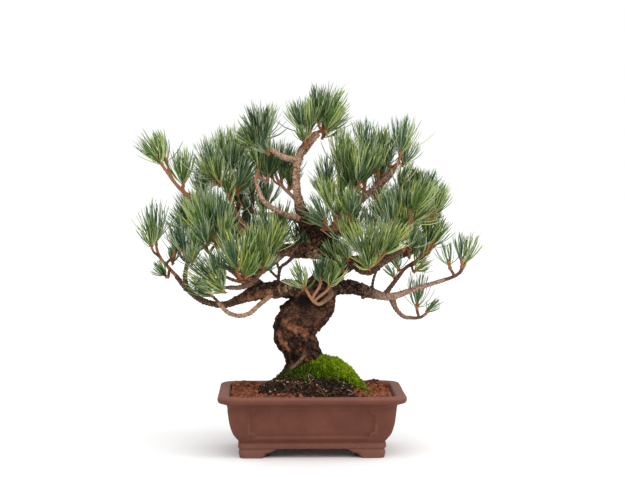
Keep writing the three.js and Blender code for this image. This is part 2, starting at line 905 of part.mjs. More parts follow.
// Needles fan out of each shoot, turned on by the golden angle. One that would touch a limb, a twig or
// another tuft is turned on a little, and left out where no turn helps.
function growNeedles(mass) {
  const golden = Math.PI * (3 - Math.sqrt(5));
  for (const { name, base, along, size } of mass.shoots) {
    const side = along.clone().cross(vector(0.3, 1, 0.2)).normalize();
    let around = mass.random() * 2 * Math.PI;
    for (let i = 0; i < NEEDLES_A_SHOOT; i++) {
      around += golden;
      const share = (i + 0.5) / NEEDLES_A_SHOOT;
      const tilt = THREE.MathUtils.lerp(LOW_TILT, HIGH_TILT, share) + 0.12 * (mass.random() - 0.5);
      const from = base.clone().addScaledVector(along, size * SHOOT_LENGTH * (0.3 + 0.6 * share));
      const reach = size * NEEDLE_LENGTH * (0.88 + 0.2 * mass.random());
      const ways = [0, 0.3, -0.3, 0.6, -0.6, 0.9, -0.9].map((turn) => {
        const out = side.clone().applyAxisAngle(along, around + turn);
        return along.clone().multiplyScalar(Math.cos(tilt)).addScaledVector(out, Math.sin(tilt));
      });
      const way = ways.find((w) =>
        isClear(name, from, from.clone().addScaledVector(w, reach), NEEDLE_RADIUS),
      );
      if (!way) continue;
      mass.pieces.push(spike(from, way, reach));
      take(name, [
        { at: from, radius: NEEDLE_RADIUS },
        { at: from.clone().addScaledVector(way, reach), radius: 0 },
      ]);
    }
  }
}

// A three-sided spike: a bundle of needles.
function spike(from, way, reach) {
  const shape = new THREE.ConeGeometry(NEEDLE_RADIUS, reach, 3);
  shape.translate(0, reach / 2, 0);
  shape.applyQuaternion(new THREE.Quaternion().setFromUnitVectors(vector(0, 1, 0), way));
  shape.translate(from.x, from.y, from.z);
  return solidOf(shape);
}

// Soil and moss

// A mound with a round top and a spreading foot, grown all round by grow.
function mound({ x, y, halfX, halfY, height }, grow = 0) {
  const rows = 6;
  const profile = Array.from({ length: rows + 1 }, (_, i) => {
    const out = 1 - i / rows;
    return new THREE.Vector2(out, 1 - out ** 1.8);
  });
  profile.unshift(new THREE.Vector2(0, -0.2), new THREE.Vector2(1, -0.2));
  const shape = new THREE.LatheGeometry(profile, 18);
  shape.rotateX(Math.PI / 2);
  shape.scale(halfX + grow, halfY + grow, height + grow);
  shape.translate(x, y, SOIL_HEIGHT + grow);
  return solidOf(shape);
}

function makeSoil(trunkSpace) {
  const fill = rimmedLoft([
    ...insideRows.map(([z, inset]) => [Math.max(z, FLOOR_HEIGHT + GAP), inset + 2 * GAP]),
    [SOIL_EDGE, RIM_WIDTH + 1.2 + 2 * GAP],
    [SOIL_HEIGHT, RIM_WIDTH + 14],
  ]);
  return fill.add(mound(EARTH)).subtract(trunkSpace);
}

function makeMoss(soil, trunkSpace) {
  return mound(CUSHION).subtract(mound(EARTH, GAP)).subtract(soil).subtract(trunkSpace);
}

// The object

const CLAY = 0x6f4438;
const GRIT = 0x5a3324;
const MOSS_GREEN = 0x5c8a1c;
const TRUNK_BARK = 0x4a3428;
const BOUGH_BARK = 0x6a4a38;
const NEEDLE_GREEN = 0x4f7a5a;

const tree = new THREE.Group();

function add(name, solid, color, roughness) {
  const mesh = new THREE.Mesh(
    geometryOf(solid),
    new THREE.MeshStandardMaterial({ color, roughness, metalness: 0, flatShading: true }),
  );
  mesh.name = name;
  tree.add(mesh);
}

add("pot", makePot(), CLAY, 0.62);

const trunkSpace = limbSolid("trunk", GAP).trimByPlane([0, 0, 1], SOIL_HEIGHT);
const soil = makeSoil(trunkSpace);
add("soil", soil, GRIT, 0.95);
add("moss", makeMoss(soil, trunkSpace), MOSS_GREEN, 0.95);

add("trunk", limbSolid("trunk").trimByPlane([0, 0, 1], SOIL_HEIGHT + GAP), TRUNK_BARK, 0.9);
for (const { name, parent } of boughList) {
  add("bough_" + name, limbSolid(name).subtract(limbSolid(parent, GAP)), BOUGH_BARK, 0.85);
}

const masses = massList.map(layOut);
masses.forEach(growTwigs);
masses.forEach(growNeedles);
for (const mass of masses) {
  const fused = wasm.Manifold.union(mass.pieces);
  add("needles_" + mass.name, fused.subtract(limbSolid(mass.limb, GAP)), NEEDLE_GREEN, 0.6);
}

// Stands the plant's whole box centred on the origin.
const box = new THREE.Box3().setFromObject(tree);
tree.position.set(-(box.min.x + box.max.x) / 2, -(box.min.y + box.max.y) / 2, 0);

export default tree;
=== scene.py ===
# %% [markdown]
# A Japanese white pine, kept about 40 cm high for many years in a clay pot. Its trunk is old and
# plated, its long boughs are nearly bare, and each twig ends in a tuft of needles that grow in fives.
#
# The solids of the packed model already say where every limb and tuft is. This script keeps all those
# places and makes what the eye wants next: bark with cracks in it, thousands of needles, a clay pot
# with soft edges, grit that lies in grains, and moss.

import math

import bpy
import numpy as np
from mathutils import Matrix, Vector, noise


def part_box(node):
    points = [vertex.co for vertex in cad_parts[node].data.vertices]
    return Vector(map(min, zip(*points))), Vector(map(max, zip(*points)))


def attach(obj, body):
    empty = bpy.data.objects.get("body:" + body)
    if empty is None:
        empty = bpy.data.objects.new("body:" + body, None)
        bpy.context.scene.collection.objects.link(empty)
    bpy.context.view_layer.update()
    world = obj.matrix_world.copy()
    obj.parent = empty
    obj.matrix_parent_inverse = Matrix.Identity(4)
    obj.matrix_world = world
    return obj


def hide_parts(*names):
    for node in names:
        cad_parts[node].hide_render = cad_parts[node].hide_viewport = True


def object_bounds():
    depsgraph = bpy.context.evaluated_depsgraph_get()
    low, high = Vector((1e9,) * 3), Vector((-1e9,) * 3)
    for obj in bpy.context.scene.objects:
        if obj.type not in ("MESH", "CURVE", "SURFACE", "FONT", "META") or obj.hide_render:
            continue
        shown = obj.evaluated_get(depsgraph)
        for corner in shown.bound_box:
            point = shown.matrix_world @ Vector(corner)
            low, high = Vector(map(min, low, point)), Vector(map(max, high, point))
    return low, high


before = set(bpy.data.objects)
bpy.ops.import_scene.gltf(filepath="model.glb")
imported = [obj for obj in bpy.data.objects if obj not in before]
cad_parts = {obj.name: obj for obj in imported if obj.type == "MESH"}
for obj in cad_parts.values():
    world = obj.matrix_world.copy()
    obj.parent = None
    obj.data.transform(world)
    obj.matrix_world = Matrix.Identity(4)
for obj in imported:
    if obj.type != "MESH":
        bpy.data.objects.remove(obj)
CAD_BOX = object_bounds()
MM = 0.001
pot_low, pot_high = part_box("pot")
POT_PLACE = np.array([(pot_low[0] + pot_high[0]) / 2, (pot_low[1] + pot_high[1]) / 2, 0.0])


def to_row(places):
    """Millimetres from the middle of the pot on the ground, as metres in the frame."""
    return np.asarray(places, float) * MM + POT_PLACE


print("nodes", len(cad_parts), "pot stands at", POT_PLACE.round(4))

# %% [markdown]
# The camera comes first, because what it sees decides how fine each mesh must be. The photograph was
# taken from the front, a little to the left, with a long lens above the pot's rim. It looks slightly
# down, and slightly to the right, which shows the pot's rear left foot and hides the right one. One
# pixel is about 1.1 mm at the trunk, so a needle is about one pixel wide.

# %% Camera
IMAGE_WIDTH = 625
FOCAL_PIXELS = 1733
SENSOR = 36.0
CAMERA_PLACE = (-40, -1900, 318)
LOOK_DOWN, LOOK_RIGHT = 2.537, 1.25

eye = bpy.data.cameras.new("camera")
eye.sensor_width = SENSOR
eye.lens = FOCAL_PIXELS / IMAGE_WIDTH * SENSOR
eye.clip_start, eye.clip_end = 0.05, 50
camera = bpy.data.objects.new("camera", eye)
camera.location = to_row(CAMERA_PLACE)
camera.rotation_euler = (math.radians(90 - LOOK_DOWN), 0, math.radians(-LOOK_RIGHT))
bpy.context.collection.objects.link(camera)
bpy.context.scene.camera = camera
print("lens", round(eye.lens, 1), "mm")

# %% [markdown]
# The picture was taken in a white tent: light comes from everywhere, a little more from above and
# from the front. A white world gives the even part. A very wide sun stands for the tent's lit roof: it
# brightens the needles from above, lights the floor evenly as far as the horizon, and puts a faint
# shade under the pot. The floor is a plain pale sheet. The standard view keeps white at white, where
# Blender's usual film look would turn the tent grey.

# %% Light and floor
WORLD_LIGHT = 1.0
SUN_LIGHT = 1.15
SUN_WIDTH = 65  # degrees across
SUN_FROM = (0.10, -0.75, 1.0)
LAMP_PLACE, LAMP_SIZE, LAMP_WATTS = (1.3, -0.7, 1.0), 0.6, 6

bpy.context.scene.view_settings.view_transform = "Standard"
world = bpy.data.worlds.new("white_tent")
world.use_nodes = True
world.node_tree.nodes["Background"].inputs["Color"].default_value = (1, 1, 1, 1)
world.node_tree.nodes["Background"].inputs["Strength"].default_value = WORLD_LIGHT
bpy.context.scene.world = world


def hang(lamp, place, aim):
    """Puts a lamp at a place, shining along aim."""
    holder = bpy.data.objects.new(lamp.name, lamp)
    holder.location = place
    holder.rotation_euler = Vector(aim).to_track_quat("-Z", "Y").to_euler()
    bpy.context.collection.objects.link(holder)


tent_roof = bpy.data.lights.new("tent_roof", "SUN")
tent_roof.energy, tent_roof.angle = SUN_LIGHT, math.radians(SUN_WIDTH)
hang(tent_roof, SUN_FROM, -Vector(SUN_FROM))
side_lamp = bpy.data.lights.new("side_lamp", "AREA")
side_lamp.energy, side_lamp.size = LAMP_WATTS, LAMP_SIZE
hang(side_lamp, LAMP_PLACE, Vector((0, 0, 0.2)) - Vector(LAMP_PLACE))

FLOOR_REACH = 12.0
floor_mesh = bpy.data.meshes.new("floor")
floor_mesh.from_pydata(
    [(x * FLOOR_REACH, y * FLOOR_REACH, 0) for x, y in ((-1, -1), (1, -1), (1, 1), (-1, 1))],
    [], [(0, 1, 2, 3)])
floor = bpy.data.objects.new("floor", floor_mesh)
bpy.context.collection.objects.link(floor)
print("floor reaches", FLOOR_REACH, "m")

# %% [markdown]
# A finish in Blender is a graph of nodes. Drawn by hand it grows into a web that is hard to read, so
# here a graph is written as sums. Wire wraps one socket, and adding or multiplying wires adds Math
# nodes behind the scenes. A Math node takes a bare number as well, so 1 - mask works too.

# %% Sums on sockets
class Wire:
    """An output socket that sums can be written with."""

    def __init__(self, finish, socket):
        self.finish, self.socket = finish, socket

    def math(self, operation, *values):
        return self.finish.node("ShaderNodeMath", {"operation": operation}, dict(enumerate(values)))

    def __add__(self, other):
        return self.math("ADD", self, other)

    def __sub__(self, other):
        return self.math("SUBTRACT", self, other)

    def __mul__(self, other):
        return self.math("MULTIPLY", self, other)

    def __rsub__(self, other):
        return self.math("SUBTRACT", other, self)

    __radd__ = __add__
    __rmul__ = __mul__

    def between(self, low, high):
        """0 below low, 1 above high, and a soft step in between."""
        sockets = {"Value": self, "From Min": low, "From Max": high}
        return self.finish.node("ShaderNodeMapRange", {"interpolation_type": "SMOOTHSTEP"}, sockets)


print("sums:", [name for name in vars(Wire) if name.endswith(("add__", "sub__", "mul__"))])

# %% [markdown]
# A finish is one material. Every node in it comes from one method, node. Colours don't go through
# Math nodes, which would turn them grey: they are blended by a Mix node. The other helpers are the few
# patterns that a plant in a pot needs, all worked out from places in the frame, so that no picture has
# to be unwrapped on anything: clouds of noise, drawn-out streaks, numbers stored with the mesh, and a
# grain of fine bumps. The first finish is the floor's plain pale sheet.

# %% Finishes
class Finish:
    """A material under construction, on its Principled shader."""

    def __init__(self, name, colour, roughness=0.8, specular=0.06):
        self.material = bpy.data.materials.new(name)
        self.material.use_nodes = True
        self.tree = self.material.node_tree
        self.shader = self.tree.nodes["Principled BSDF"]
        self.feed(self.shader.inputs["Base Color"], colour)
        self.feed(self.shader.inputs["Roughness"], roughness)
        self.shader.inputs["Specular IOR Level"].default_value = specular
        self.material.diffuse_color = (*colour, 1)

    def feed(self, socket, value):
        if isinstance(value, Wire):
            self.tree.links.new(value.socket, socket)
        elif isinstance(value, tuple) and len(value) == 3 and socket.type == "RGBA":
            socket.default_value = (*value, 1)
        else:
            socket.default_value = value

    def node(self, kind, settings, sockets, output=0):
        """Adds a node: its settings first, then the value or wire of each socket that is named."""
        made = self.tree.nodes.new(kind)
        for key, value in settings.items():
            setattr(made, key, value)
        for key, value in sockets.items():
            self.feed(made.inputs[key], value)
        return Wire(self, made.outputs[output])

    def blend(self, share, first, second):
        """Mixes two colours: first where share is 0 and second where it is 1."""
        colour_a, colour_b, colour_out = 6, 7, 2
        sockets = {0: share, colour_a: first, colour_b: second}
        return self.node("ShaderNodeMix", {"data_type": "RGBA"}, sockets, colour_out)

    def place(self):
        """Where a point is in the frame, in metres. Every piece's origin is the frame's."""
        return self.node("ShaderNodeTexCoord", {}, {}, 3)

    def clouds(self, size, detail=3, place=None):
        """Noise from 0 to 1 whose lumps are about size metres across."""
        sockets = {"Vector": place or self.place(), "Scale": 1 / size, "Detail": detail, "Roughness": 0.55}
        return self.node("ShaderNodeTexNoise", {}, sockets)

    def streaks(self, size, longer, across):
        """Noise drawn out square to a direction: size metres across, and that many times longer."""
        place, across = self.place(), Vector(across).normalized()
        lengthwise = self.node(
            "ShaderNodeVectorMath", {"operation": "DOT_PRODUCT"}, {0: place, 1: tuple(across)}, 1)
        drawn = self.node(
            "ShaderNodeVectorMath", {"operation": "SCALE"},
            {0: tuple(across * (longer - 1)), "Scale": lengthwise})
        place = self.node("ShaderNodeVectorMath", {"operation": "ADD"}, {0: place, 1: drawn})
        return self.clouds(size * longer, 2, place)

    def stored(self, name):
        """A number that the mesh keeps for each of its points."""
        return self.node("ShaderNodeAttribute", {"attribute_name": name}, {}, 2)

    def colour(self, wire):
        self.feed(self.shader.inputs["Base Color"], wire)

    def roughness(self, wire):
        self.feed(self.shader.inputs["Roughness"], wire)

    def grain(self, height, depth):
        """Bumps of that height wire, depth metres deep."""
        bump = self.node("ShaderNodeBump", {}, {"Strength": 1.0, "Distance": depth, "Height": height})
        self.feed(self.shader.inputs["Normal"], bump)


sheet = Finish("pale_floor", (0.90, 0.90, 0.895), 0.9)
floor_mesh.materials.append(sheet.material)
print("finish made:", sheet.material.name)

# %% [markdown]
# All pieces are made the same way: points and faces are worked out in millimetres from the middle of
# the pot, and one function turns them into a mesh in the frame, hides the solids that it stands for,
# and lets it ride with the plant. Most shapes here are rings of points, one after another, from a
# trunk to a moss cushion, so the faces between the rings and over both ends have a function of their
# own.

# %% One way to make a piece
def add_piece(name, places, faces, finishes, nodes, slot, finish_of_face=None, stored=None, smooth=True):
    """Makes a mesh that stands for those nodes, with numbers stored for each point if given."""
    mesh = bpy.data.meshes.new(name)
    mesh.from_pydata(to_row(places), [], faces)
    for finish in finishes:
        mesh.materials.append(finish.material)
    if finish_of_face is not None:
        mesh.polygons.foreach_set("material_index", np.asarray(finish_of_face, np.int32))
    mesh.polygons.foreach_set("use_smooth", np.full(len(faces), smooth))
    for key, numbers in (stored or {}).items():
        layer = mesh.attributes.new(key, "FLOAT", "POINT")
        layer.data.foreach_set("value", np.asarray(numbers, np.float32))
    mesh.update()
    piece = bpy.data.objects.new(name, mesh)
    bpy.context.collection.objects.link(piece)
    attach(piece, "root")
    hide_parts(*nodes)


def unit(vectors):
    vectors = np.asarray(vectors, float)
    return vectors / np.linalg.norm(vectors, axis=-1, keepdims=True)


def smooth_step(values, low, high):
    t = np.clip((np.asarray(values, float) - low) / (high - low), 0, 1)
    return t * t * (3 - 2 * t)


def run_along(points):
    """How far each of a line of points is from the first, along the line."""
    return np.concatenate([[0], np.cumsum(np.linalg.norm(np.diff(points, axis=0), axis=1))])


def grid_faces(rows, columns):
    """Quads between neighbours on rings of points, rows of them with so many columns each."""
    row, column = np.arange(rows - 1)[:, None] * columns, np.arange(columns)[None]
    following = (column + 1) % columns
    corners = [row + column, row + following, row + columns + following, row + columns + column]
    return np.stack(corners, -1).reshape(-1, 4).tolist()


def capped(rings):
    """Points and faces of a skin over rings of points, with a flat face over each end."""
    rows, columns = rings.shape[:2]
    ends = [list(range(columns))[::-1], list(range((rows - 1) * columns, rows * columns))]
    return rings.reshape(-1, 3), grid_faces(rows, columns) + ends


print("three rings of eight points have", len(capped(np.zeros((3, 8, 3)))[1]), "faces")

# %% [markdown]
# The pine's skeleton is a list of limbs. A limb passes through a few places, each with the limb's
# radius there. It could be drawn as a Blender curve with a bevel, but then the solids and the bark
# would follow two different rules. These are the same places as in the solids, so bark and solid agree
# to a fraction of a millimetre.

# %% The limbs
TRUNK = [
    (-6, -2, 56, 36), (-6, -2, 80, 26.5), (-6.5, -3, 100, 20.2), (-13.5, -3, 117, 20.2),
    (-21, -3, 131, 21), (-13, -4, 146, 23.2), (3, -3, 160, 22), (10.5, 0, 175, 18.4), (19, 4, 190, 17),
    (25, 6, 204, 14), (24, 6, 216, 14.2), (8, 2, 238, 10.6), (-7, 0, 256, 7.6), (-15, -2, 282, 4.6),
    (-15.5, 0, 315, 4.2), (-7, 2, 334, 5), (7, 4, 349.5, 3.9),
]

BOUGHS = {
    "low_left": [(-2, 0, 176, 10), (-36, -7, 178.5, 9.6), (-60, -8, 175.5, 8.8), (-77, -8, 168, 5.4),
        (-97, -7, 161.5, 3.6), (-119, -5, 166, 3.4), (-136, -4, 178.5, 2.9), (-148, 1, 192.5, 2.4)],
    "low_left_rise": [(-136.5, -4, 178, 2.6), (-138, -8, 192, 2.5), (-135.5, -13, 207, 2.2)],
    "low_left_back": [(-48, -4, 176, 4), (-72, 18, 186, 3), (-98, 28, 204, 2.3)],
    "low_left_sling": [(-44, -11, 173, 2.6), (-57, -20, 162.5, 2.5), (-68, -25, 153.5, 2.4),
        (-80, -28, 151.5, 2.4), (-92, -29, 156, 2.3), (-101, -28, 166, 2)],
    "mid_left": [(20, 8, 220, 8.2), (-14, 8, 220, 8.2), (-30, 6, 220, 6.6), (-46, 1, 211.5, 4.2)],
    "mid_left_front": [(-33, 2, 216, 3.6), (-43.5, -8.5, 206.5, 3.6), (-55.5, -13.5, 198, 3.6),
        (-65, -19, 187, 3.5), (-77, -24, 182, 2.8), (-90, -28, 182, 2.3)],
    "mid_left_fork": [(-64.5, -18, 188, 3.1), (-75, -16, 198, 3.1), (-87, -15, 213, 2.9),
        (-99, -17, 228, 2.3)],
    "upper_left": [(-28, 8, 222, 4.4), (-60, 24, 234, 3.4), (-98, 25, 253, 2.7), (-132, 15, 278, 2.3)],
    "crown_left": [(-62, 24, 235, 3), (-80, 28, 256, 2.5), (-92, 20, 282, 2.1)],
    "leader_left": [(-16, 0, 320, 3.2), (-30, -9, 323, 2.9), (-45, -18, 332, 2.4)],
    "hook": [(-8, 0, 256, 3.8), (-28, -8, 260, 3.2), (-51, -13, 274, 2.8), (-60, -7, 294, 2.2)],
    "upper_right": [(12, 5, 234, 5.6), (37, 16, 256, 4.7), (57, 14, 277, 3.9), (84, 8, 300, 3.3),
        (90, 6, 308, 3)],
    "upper_right_front": [(34, 15, 254, 3.2), (36, 0, 268, 2.6), (34, -10, 284, 2.2)],
    "mid_right": [(24, 0, 222, 5.6), (42, -22, 210, 5.4), (60, -37, 201, 5.6), (80, -38, 213, 4.3),
        (97, -34, 222, 2.7)],
    "mid_right_back": [(26, 8, 212, 6.6), (52, 23, 208, 5.5), (84, 30, 210, 4.9), (110, 30, 217, 3.5),
        (122, 28, 226, 2.4)],
    "mid_right_rise": [(86, 30, 211, 3.6), (97, 18, 232, 2.8), (104, 4, 256, 2.2)],
    "low_right": [(12, 0, 178, 8.4), (42, -4, 181, 7.8), (60, -7, 176.5, 7.4), (76, -9, 171.5, 4.9),
        (90, -10, 171, 4.1), (111, -9, 178, 2.8), (146, -6, 188.5, 2.2)],
    "low_right_drop": [(88, -9, 169, 3.1), (93, -4, 156.6, 2.5), (102, 1, 147.5, 2.2), (111, 4, 146, 2.1)],
    "low_right_twig": [(81, -8, 173, 2.4), (89, 0, 182.5, 2.3), (100, 8, 196, 2.1)],
    "front_twig": [(16, -6, 182, 3.4), (21, -24, 174, 2.8), (11, -36, 166, 2.2)],
    "back_left": [(6, 8, 170, 8), (-18, 36, 171, 5.8), (-50, 50, 176, 4.2), (-82, 58, 205, 2.6)],
    "back_middle": [(-4, 2, 250, 4.6), (-22, 26, 257, 3.4), (-46, 44, 259, 2.4)],
    "back_high": [(14, 6, 224, 5.4), (30, 36, 244, 4), (46, 50, 272, 2.4)],
    "back_right": [(20, 8, 192, 7), (36, 38, 196, 5.2), (60, 54, 208, 4), (86, 58, 224, 2.6)],
}

LIMBS = {"trunk": TRUNK} | BOUGHS
print("limbs", len(LIMBS), "places", sum(len(path) for path in LIMBS.values()))

# %% [markdown]
# A limb bends softly from place to place. Straight pieces between the places would show as elbows, so
# the curve leaves and reaches each place in the direction of its neighbours. Walking along it at even
# steps of length gives rings of points that are evenly far apart.

# %% Curves along the limbs
def along_path(path, shares):
    """Points of the smooth curve through a path's rows, at shares from 0 to 1 of its run."""
    rows = np.asarray(path, float)
    rows = np.vstack([2 * rows[0] - rows[1], rows, 2 * rows[-1] - rows[-2]])
    spans = len(path) - 1
    place = np.clip(np.asarray(shares, float) * spans, 0, spans)
    step = np.minimum(place.astype(int), spans - 1)
    t = (place - step)[..., None]
    before, start, end, after = (rows[step + k] for k in range(4))
    leave, arrive = (end - before) / 2, (after - start) / 2
    bend = 3 * (end - start) - 2 * leave - arrive
    twist = 2 * (start - end) + leave + arrive
    return start + leave * t + bend * t**2 + twist * t**3


def limb_at(name, share):
    """A limb's middle, direction and radius at a share of its run."""
    nearby = along_path(LIMBS[name], [max(share - 1e-4, 0), min(share + 1e-4, 1)])
    here = along_path(LIMBS[name], [share])[0]
    return here[:3], unit(nearby[1, :3] - nearby[0, :3]), here[3]


def evenly(path, apart):
    """Middles, radii and shares along a limb, about so many millimetres apart."""
    fine = along_path(path, np.linspace(0, 1, 400))
    run = run_along(fine[:, :3])
    count = max(int(run[-1] / apart), 3)
    shares = np.interp(np.linspace(0, run[-1], count + 1), run, np.linspace(0, 1, 400))
    rows = along_path(path, shares)
    return rows[:, :3], rows[:, 3], shares


length = {name: run_along(evenly(path, 3)[0])[-1] for name, path in LIMBS.items()}
whole_length = round(sum(length.values()))
print("trunk", round(length["trunk"]), "mm, with", len(BOUGHS), "boughs", whole_length, "mm")

# %% [markdown]
# Bark could be a picture wrapped round a smooth tube, but then the trunk's edge would stay smooth
# against the white. So the relief is real: rings of points run up the limb, and each point is moved
# out or in. The directions from the middle to a ring's points are carried along from ring to ring.
# Worked out afresh for each ring, they could flip round in a bend and wring the mesh.

# %% Rings round a limb
BARK_FOLD = 17  # as in the solids: long folds that wind up the trunk


def skin(middles, sides):
    """Directions outwards from a line of middles, carried along it without twist."""
    along = unit(np.gradient(middles, axis=0))
    side, sides_out = np.array([1.0, 0, 0]), []
    for direction in along:
        side = unit(side - side.dot(direction) * direction)
        sides_out.append(side)
    side = np.array(sides_out)
    up = np.cross(along, side)
    angle = np.arange(sides) * 2 * math.pi / sides
    out = np.cos(angle)[None, :, None] * side[:, None] + np.sin(angle)[None, :, None] * up[:, None]
    return out, angle


def folds(angle, heights, gnarl):
    """The trunk's uneven section, by the rule of the solids."""
    z = heights[:, None]
    lumps = np.sin(3 * angle + z / BARK_FOLD) + 0.7 * np.sin(2 * angle - 0.6 * z / BARK_FOLD)
    return 1 + gnarl * lumps


print("angles round a ring of 8 points:", skin(np.eye(3), 8)[1].round(2).tolist())

# %% [markdown]
# Old pine bark breaks into plates that lift at their lower edge and flake off. A Voronoi pattern gives
# the plates: every cell gets its own height and slope, and where two cells meet there is a step or a
# crack. Larger and smaller noise is added. All of it shrinks with the limb, because young bark has no
# plates. The noise that bends the plates' outlines gets a fixed seed. Without one, every run would
# draw other plates.
#
# Two things are this trunk's own. Its belly has worn smooth and shows fine fibres in place of
# plates. In some patches a plate came off and left bare orange wood. Besides, the bark is painted
# black as painted shade under the lowest boughs and at the foot.

# %% Bark relief
BARK_SEED = 5
PLATE = 5.6  # millimetres across a plate of the oldest bark
PLATE_LIFT = 1.4
CRACK_DEPTH, CRACK_WIDTH = 1.3, 0.17  # the width as a share of a plate
LUMPS_APART, KNOBS_APART, GRAINS_APART = 15, 4.2, 2.0  # millimetres, of the noise of each size
WARP, WARP_APART = 2.6, 6  # how far, and how often, the plates' outlines wander
SMOOTH_BELLY = (136, 150, 168, 182)  # heights between which the trunk's plates have worn smooth
ROUGH_SIDE = (-38, -22)  # but left of here they are whole
BARED = [  # place and reach of the patches where a plate came off and orange wood shows
    ((-7, -19, 132), 6.5), ((-12, -22, 135.5), 5), ((-29, -22, 144), 6), ((-22, -24, 140), 6),
    ((-16, -24, 137), 5), ((-35, -18, 131), 5), ((-32, -18, 125), 6), ((-29, -19, 119), 5),
    ((-26, -19, 113.5), 5), ((-56, -16, 171), 8), ((-65, -15, 167), 8), ((-74, -12, 167.5), 6),
    ((-46, -16, 174), 7),
]
# Painted shade: black patches painted where shade falls under the lowest boughs and at the foot.
PAINTED_SHADE_PATCHES = [  # and of the black patches, in the damp shade under the boughs
    ((-24, -14, 167), 12), ((-8, -24, 167), 13), ((8, -22, 164), 12), ((-20, -24, 104), 12),
]
FIBRE_ACROSS = (0.33, 0.94)  # the worn wood's fibres lie across this way, in x and z
FIBRE_WIDTH, FIBRE_LENGTH = 0.6, 5
noise.seed_set(BARK_SEED)


def patch_share(places, patches):
    """1 in the middle of a patch, 0 outside all of them, with ragged edges between."""
    share = np.zeros(len(places))
    for middle, reach in patches:
        away = np.linalg.norm(places - middle, axis=1) / reach
        near = away < 1.8
        ragged = np.array([noise.fractal(Vector(p) / 5, 0.8, 2.2, 3) for p in places[near]])
        share[near] = np.maximum(share[near], 1 - smooth_step(away[near] + 0.35 * ragged, 0.35, 1.1))
    return share


def bark_relief(places, radii, bared):
    """How far each point moves out, in millimetres, its depth in a crack, its plate's tone, its fibre."""
    moved, cracks, tones, fibres = np.empty((4, len(places)))
    rise, full, still, fall = SMOOTH_BELLY
    belly = smooth_step(places[:, 2], rise, full) * (1 - smooth_step(places[:, 2], still, fall))
    belly = belly * smooth_step(places[:, 0], *ROUGH_SIDE)
    for i, (place, radius) in enumerate(zip(places, radii)):
        old = min(max(radius - 2.0, 0) / 9, 1)
        at = Vector(place)
        warped = at + WARP * noise.noise_vector(at / WARP_APART)
        cell = PLATE * (0.4 + 0.6 * old)
        spot = Vector((warped.x, warped.y, warped.z * 0.72)) / cell
        away, centres = noise.voronoi(spot)
        crack = 1 - min((away[1] - away[0]) / CRACK_WIDTH, 1)
        tone = noise.cell(centres[0] * 11.3)
        slope = (centres[0].z - spot.z) * 0.9
        lumps = noise.fractal(at / LUMPS_APART, 0.7, 2.0, 3)
        knobs = noise.fractal(at / KNOBS_APART, 0.8, 2.0, 2)
        fine = noise.fractal(at / GRAINS_APART, 0.7, 2.2, 3)
        smoother = (1 - 0.8 * bared[i]) * (1 - 0.8 * belly[i])
        across = place[0] * FIBRE_ACROSS[0] + place[2] * FIBRE_ACROSS[1] + 1.6 * lumps
        along = place[:2] / FIBRE_LENGTH
        fibres[i] = noise.noise(Vector((across / FIBRE_WIDTH, *along))) * belly[i] * old
        plates = PLATE_LIFT * (tone - 0.5 + slope) - CRACK_DEPTH * (crack - 0.3)
        small = (0.22 + 0.26 * old) * fine + 0.10 * radius * (1 - 0.6 * old) * knobs
        moved[i] = old * (plates * smoother + lumps) + small - 0.5 * bared[i] + 0.35 * fibres[i]
        cracks[i], tones[i] = crack * smoother, tone
    return moved, cracks, tones, fibres


print("patches bared", len(BARED), "painted_shade", len(PAINTED_SHADE_PATCHES))

# %% [markdown]
# A young limb has smooth bark with rings of small scars where its needles stood. As it thickens, the
# rings fade and the plates take over, so both are worked out for every limb and weighed by its
# thickness. What the finish has to know later, such as the depth in a crack, is kept for each point.

# %% Bark mesh
RING_APART, RING_DEPTH = 3.3, 0.26  # of the rings of scars, in millimetres


def bark_mesh(path, apart, sides, gnarl, collar):
    """A limb's bark from its root to its tip: points, faces, and what the finish reads."""
    middles, radii, shares = evenly(path, apart)
    run = np.linspace(0, 1, len(middles)) * run_along(middles)[-1]
    radii = radii * (1 + collar * np.exp(-run / 9))
    out, angle = skin(middles, sides)
    young = 1 - smooth_step(radii, 4.5, 8)
    wander = 0.35 * np.sin(run / 7)[:, None] + 0.25 * np.sin(2 * angle + run[:, None] / 5)
    ring = np.sin(2 * math.pi * (run[:, None] / RING_APART + wander))
    reach = radii[:, None] * folds(angle, middles[:, 2], gnarl) + young[:, None] * RING_DEPTH * ring
    places = (middles[:, None] + reach[..., None] * out).reshape(-1, 3)
    bared = patch_share(places, BARED)
    moved, cracks, tones, fibres = bark_relief(places, np.repeat(radii, sides), bared)
    creases = (young[:, None] * smooth_step(-ring, 0.1, 1.0)).reshape(-1)
    cracks = np.maximum(cracks, 0.85 * creases * (tones > 0.3))
    # Painted shade: the black patches are added to the crack depth, so the finish paints them near black.
    cracks = np.maximum(cracks, 0.8 * patch_share(places, PAINTED_SHADE_PATCHES))
    whole = np.repeat(smooth_step(shares, 0, 0.02) * (1 - smooth_step(shares, 0.985, 1)), sides)
    places += (moved * (0.3 + 0.7 * whole))[:, None] * out.reshape(-1, 3)
    thick = np.repeat(radii, sides)
    kept = {"crack": cracks, "tone": tones, "bared": bared, "fibre": fibres, "thick": thick}
    return *capped(places.reshape(len(middles), sides, 3)), kept


print("kept for each point:", list(bark_mesh(BOUGHS["front_twig"], 3, 8, 0, 0)[2]))

# %% [markdown]
# The bark's colours are painted by what is known about each point: how deep it lies in a crack, which
# plate or fibre it is on, and how thick the limb is there. Cracks are nearly black. Old plates run
# from black-brown to a dusty brown, with orange wood where a plate has come off and tan lichen in
# specks. Young limbs differ by bough: pinkish brown near the leader, orange-brown on the sunny left,
# tan where the left boughs lie low, and brown elsewhere.

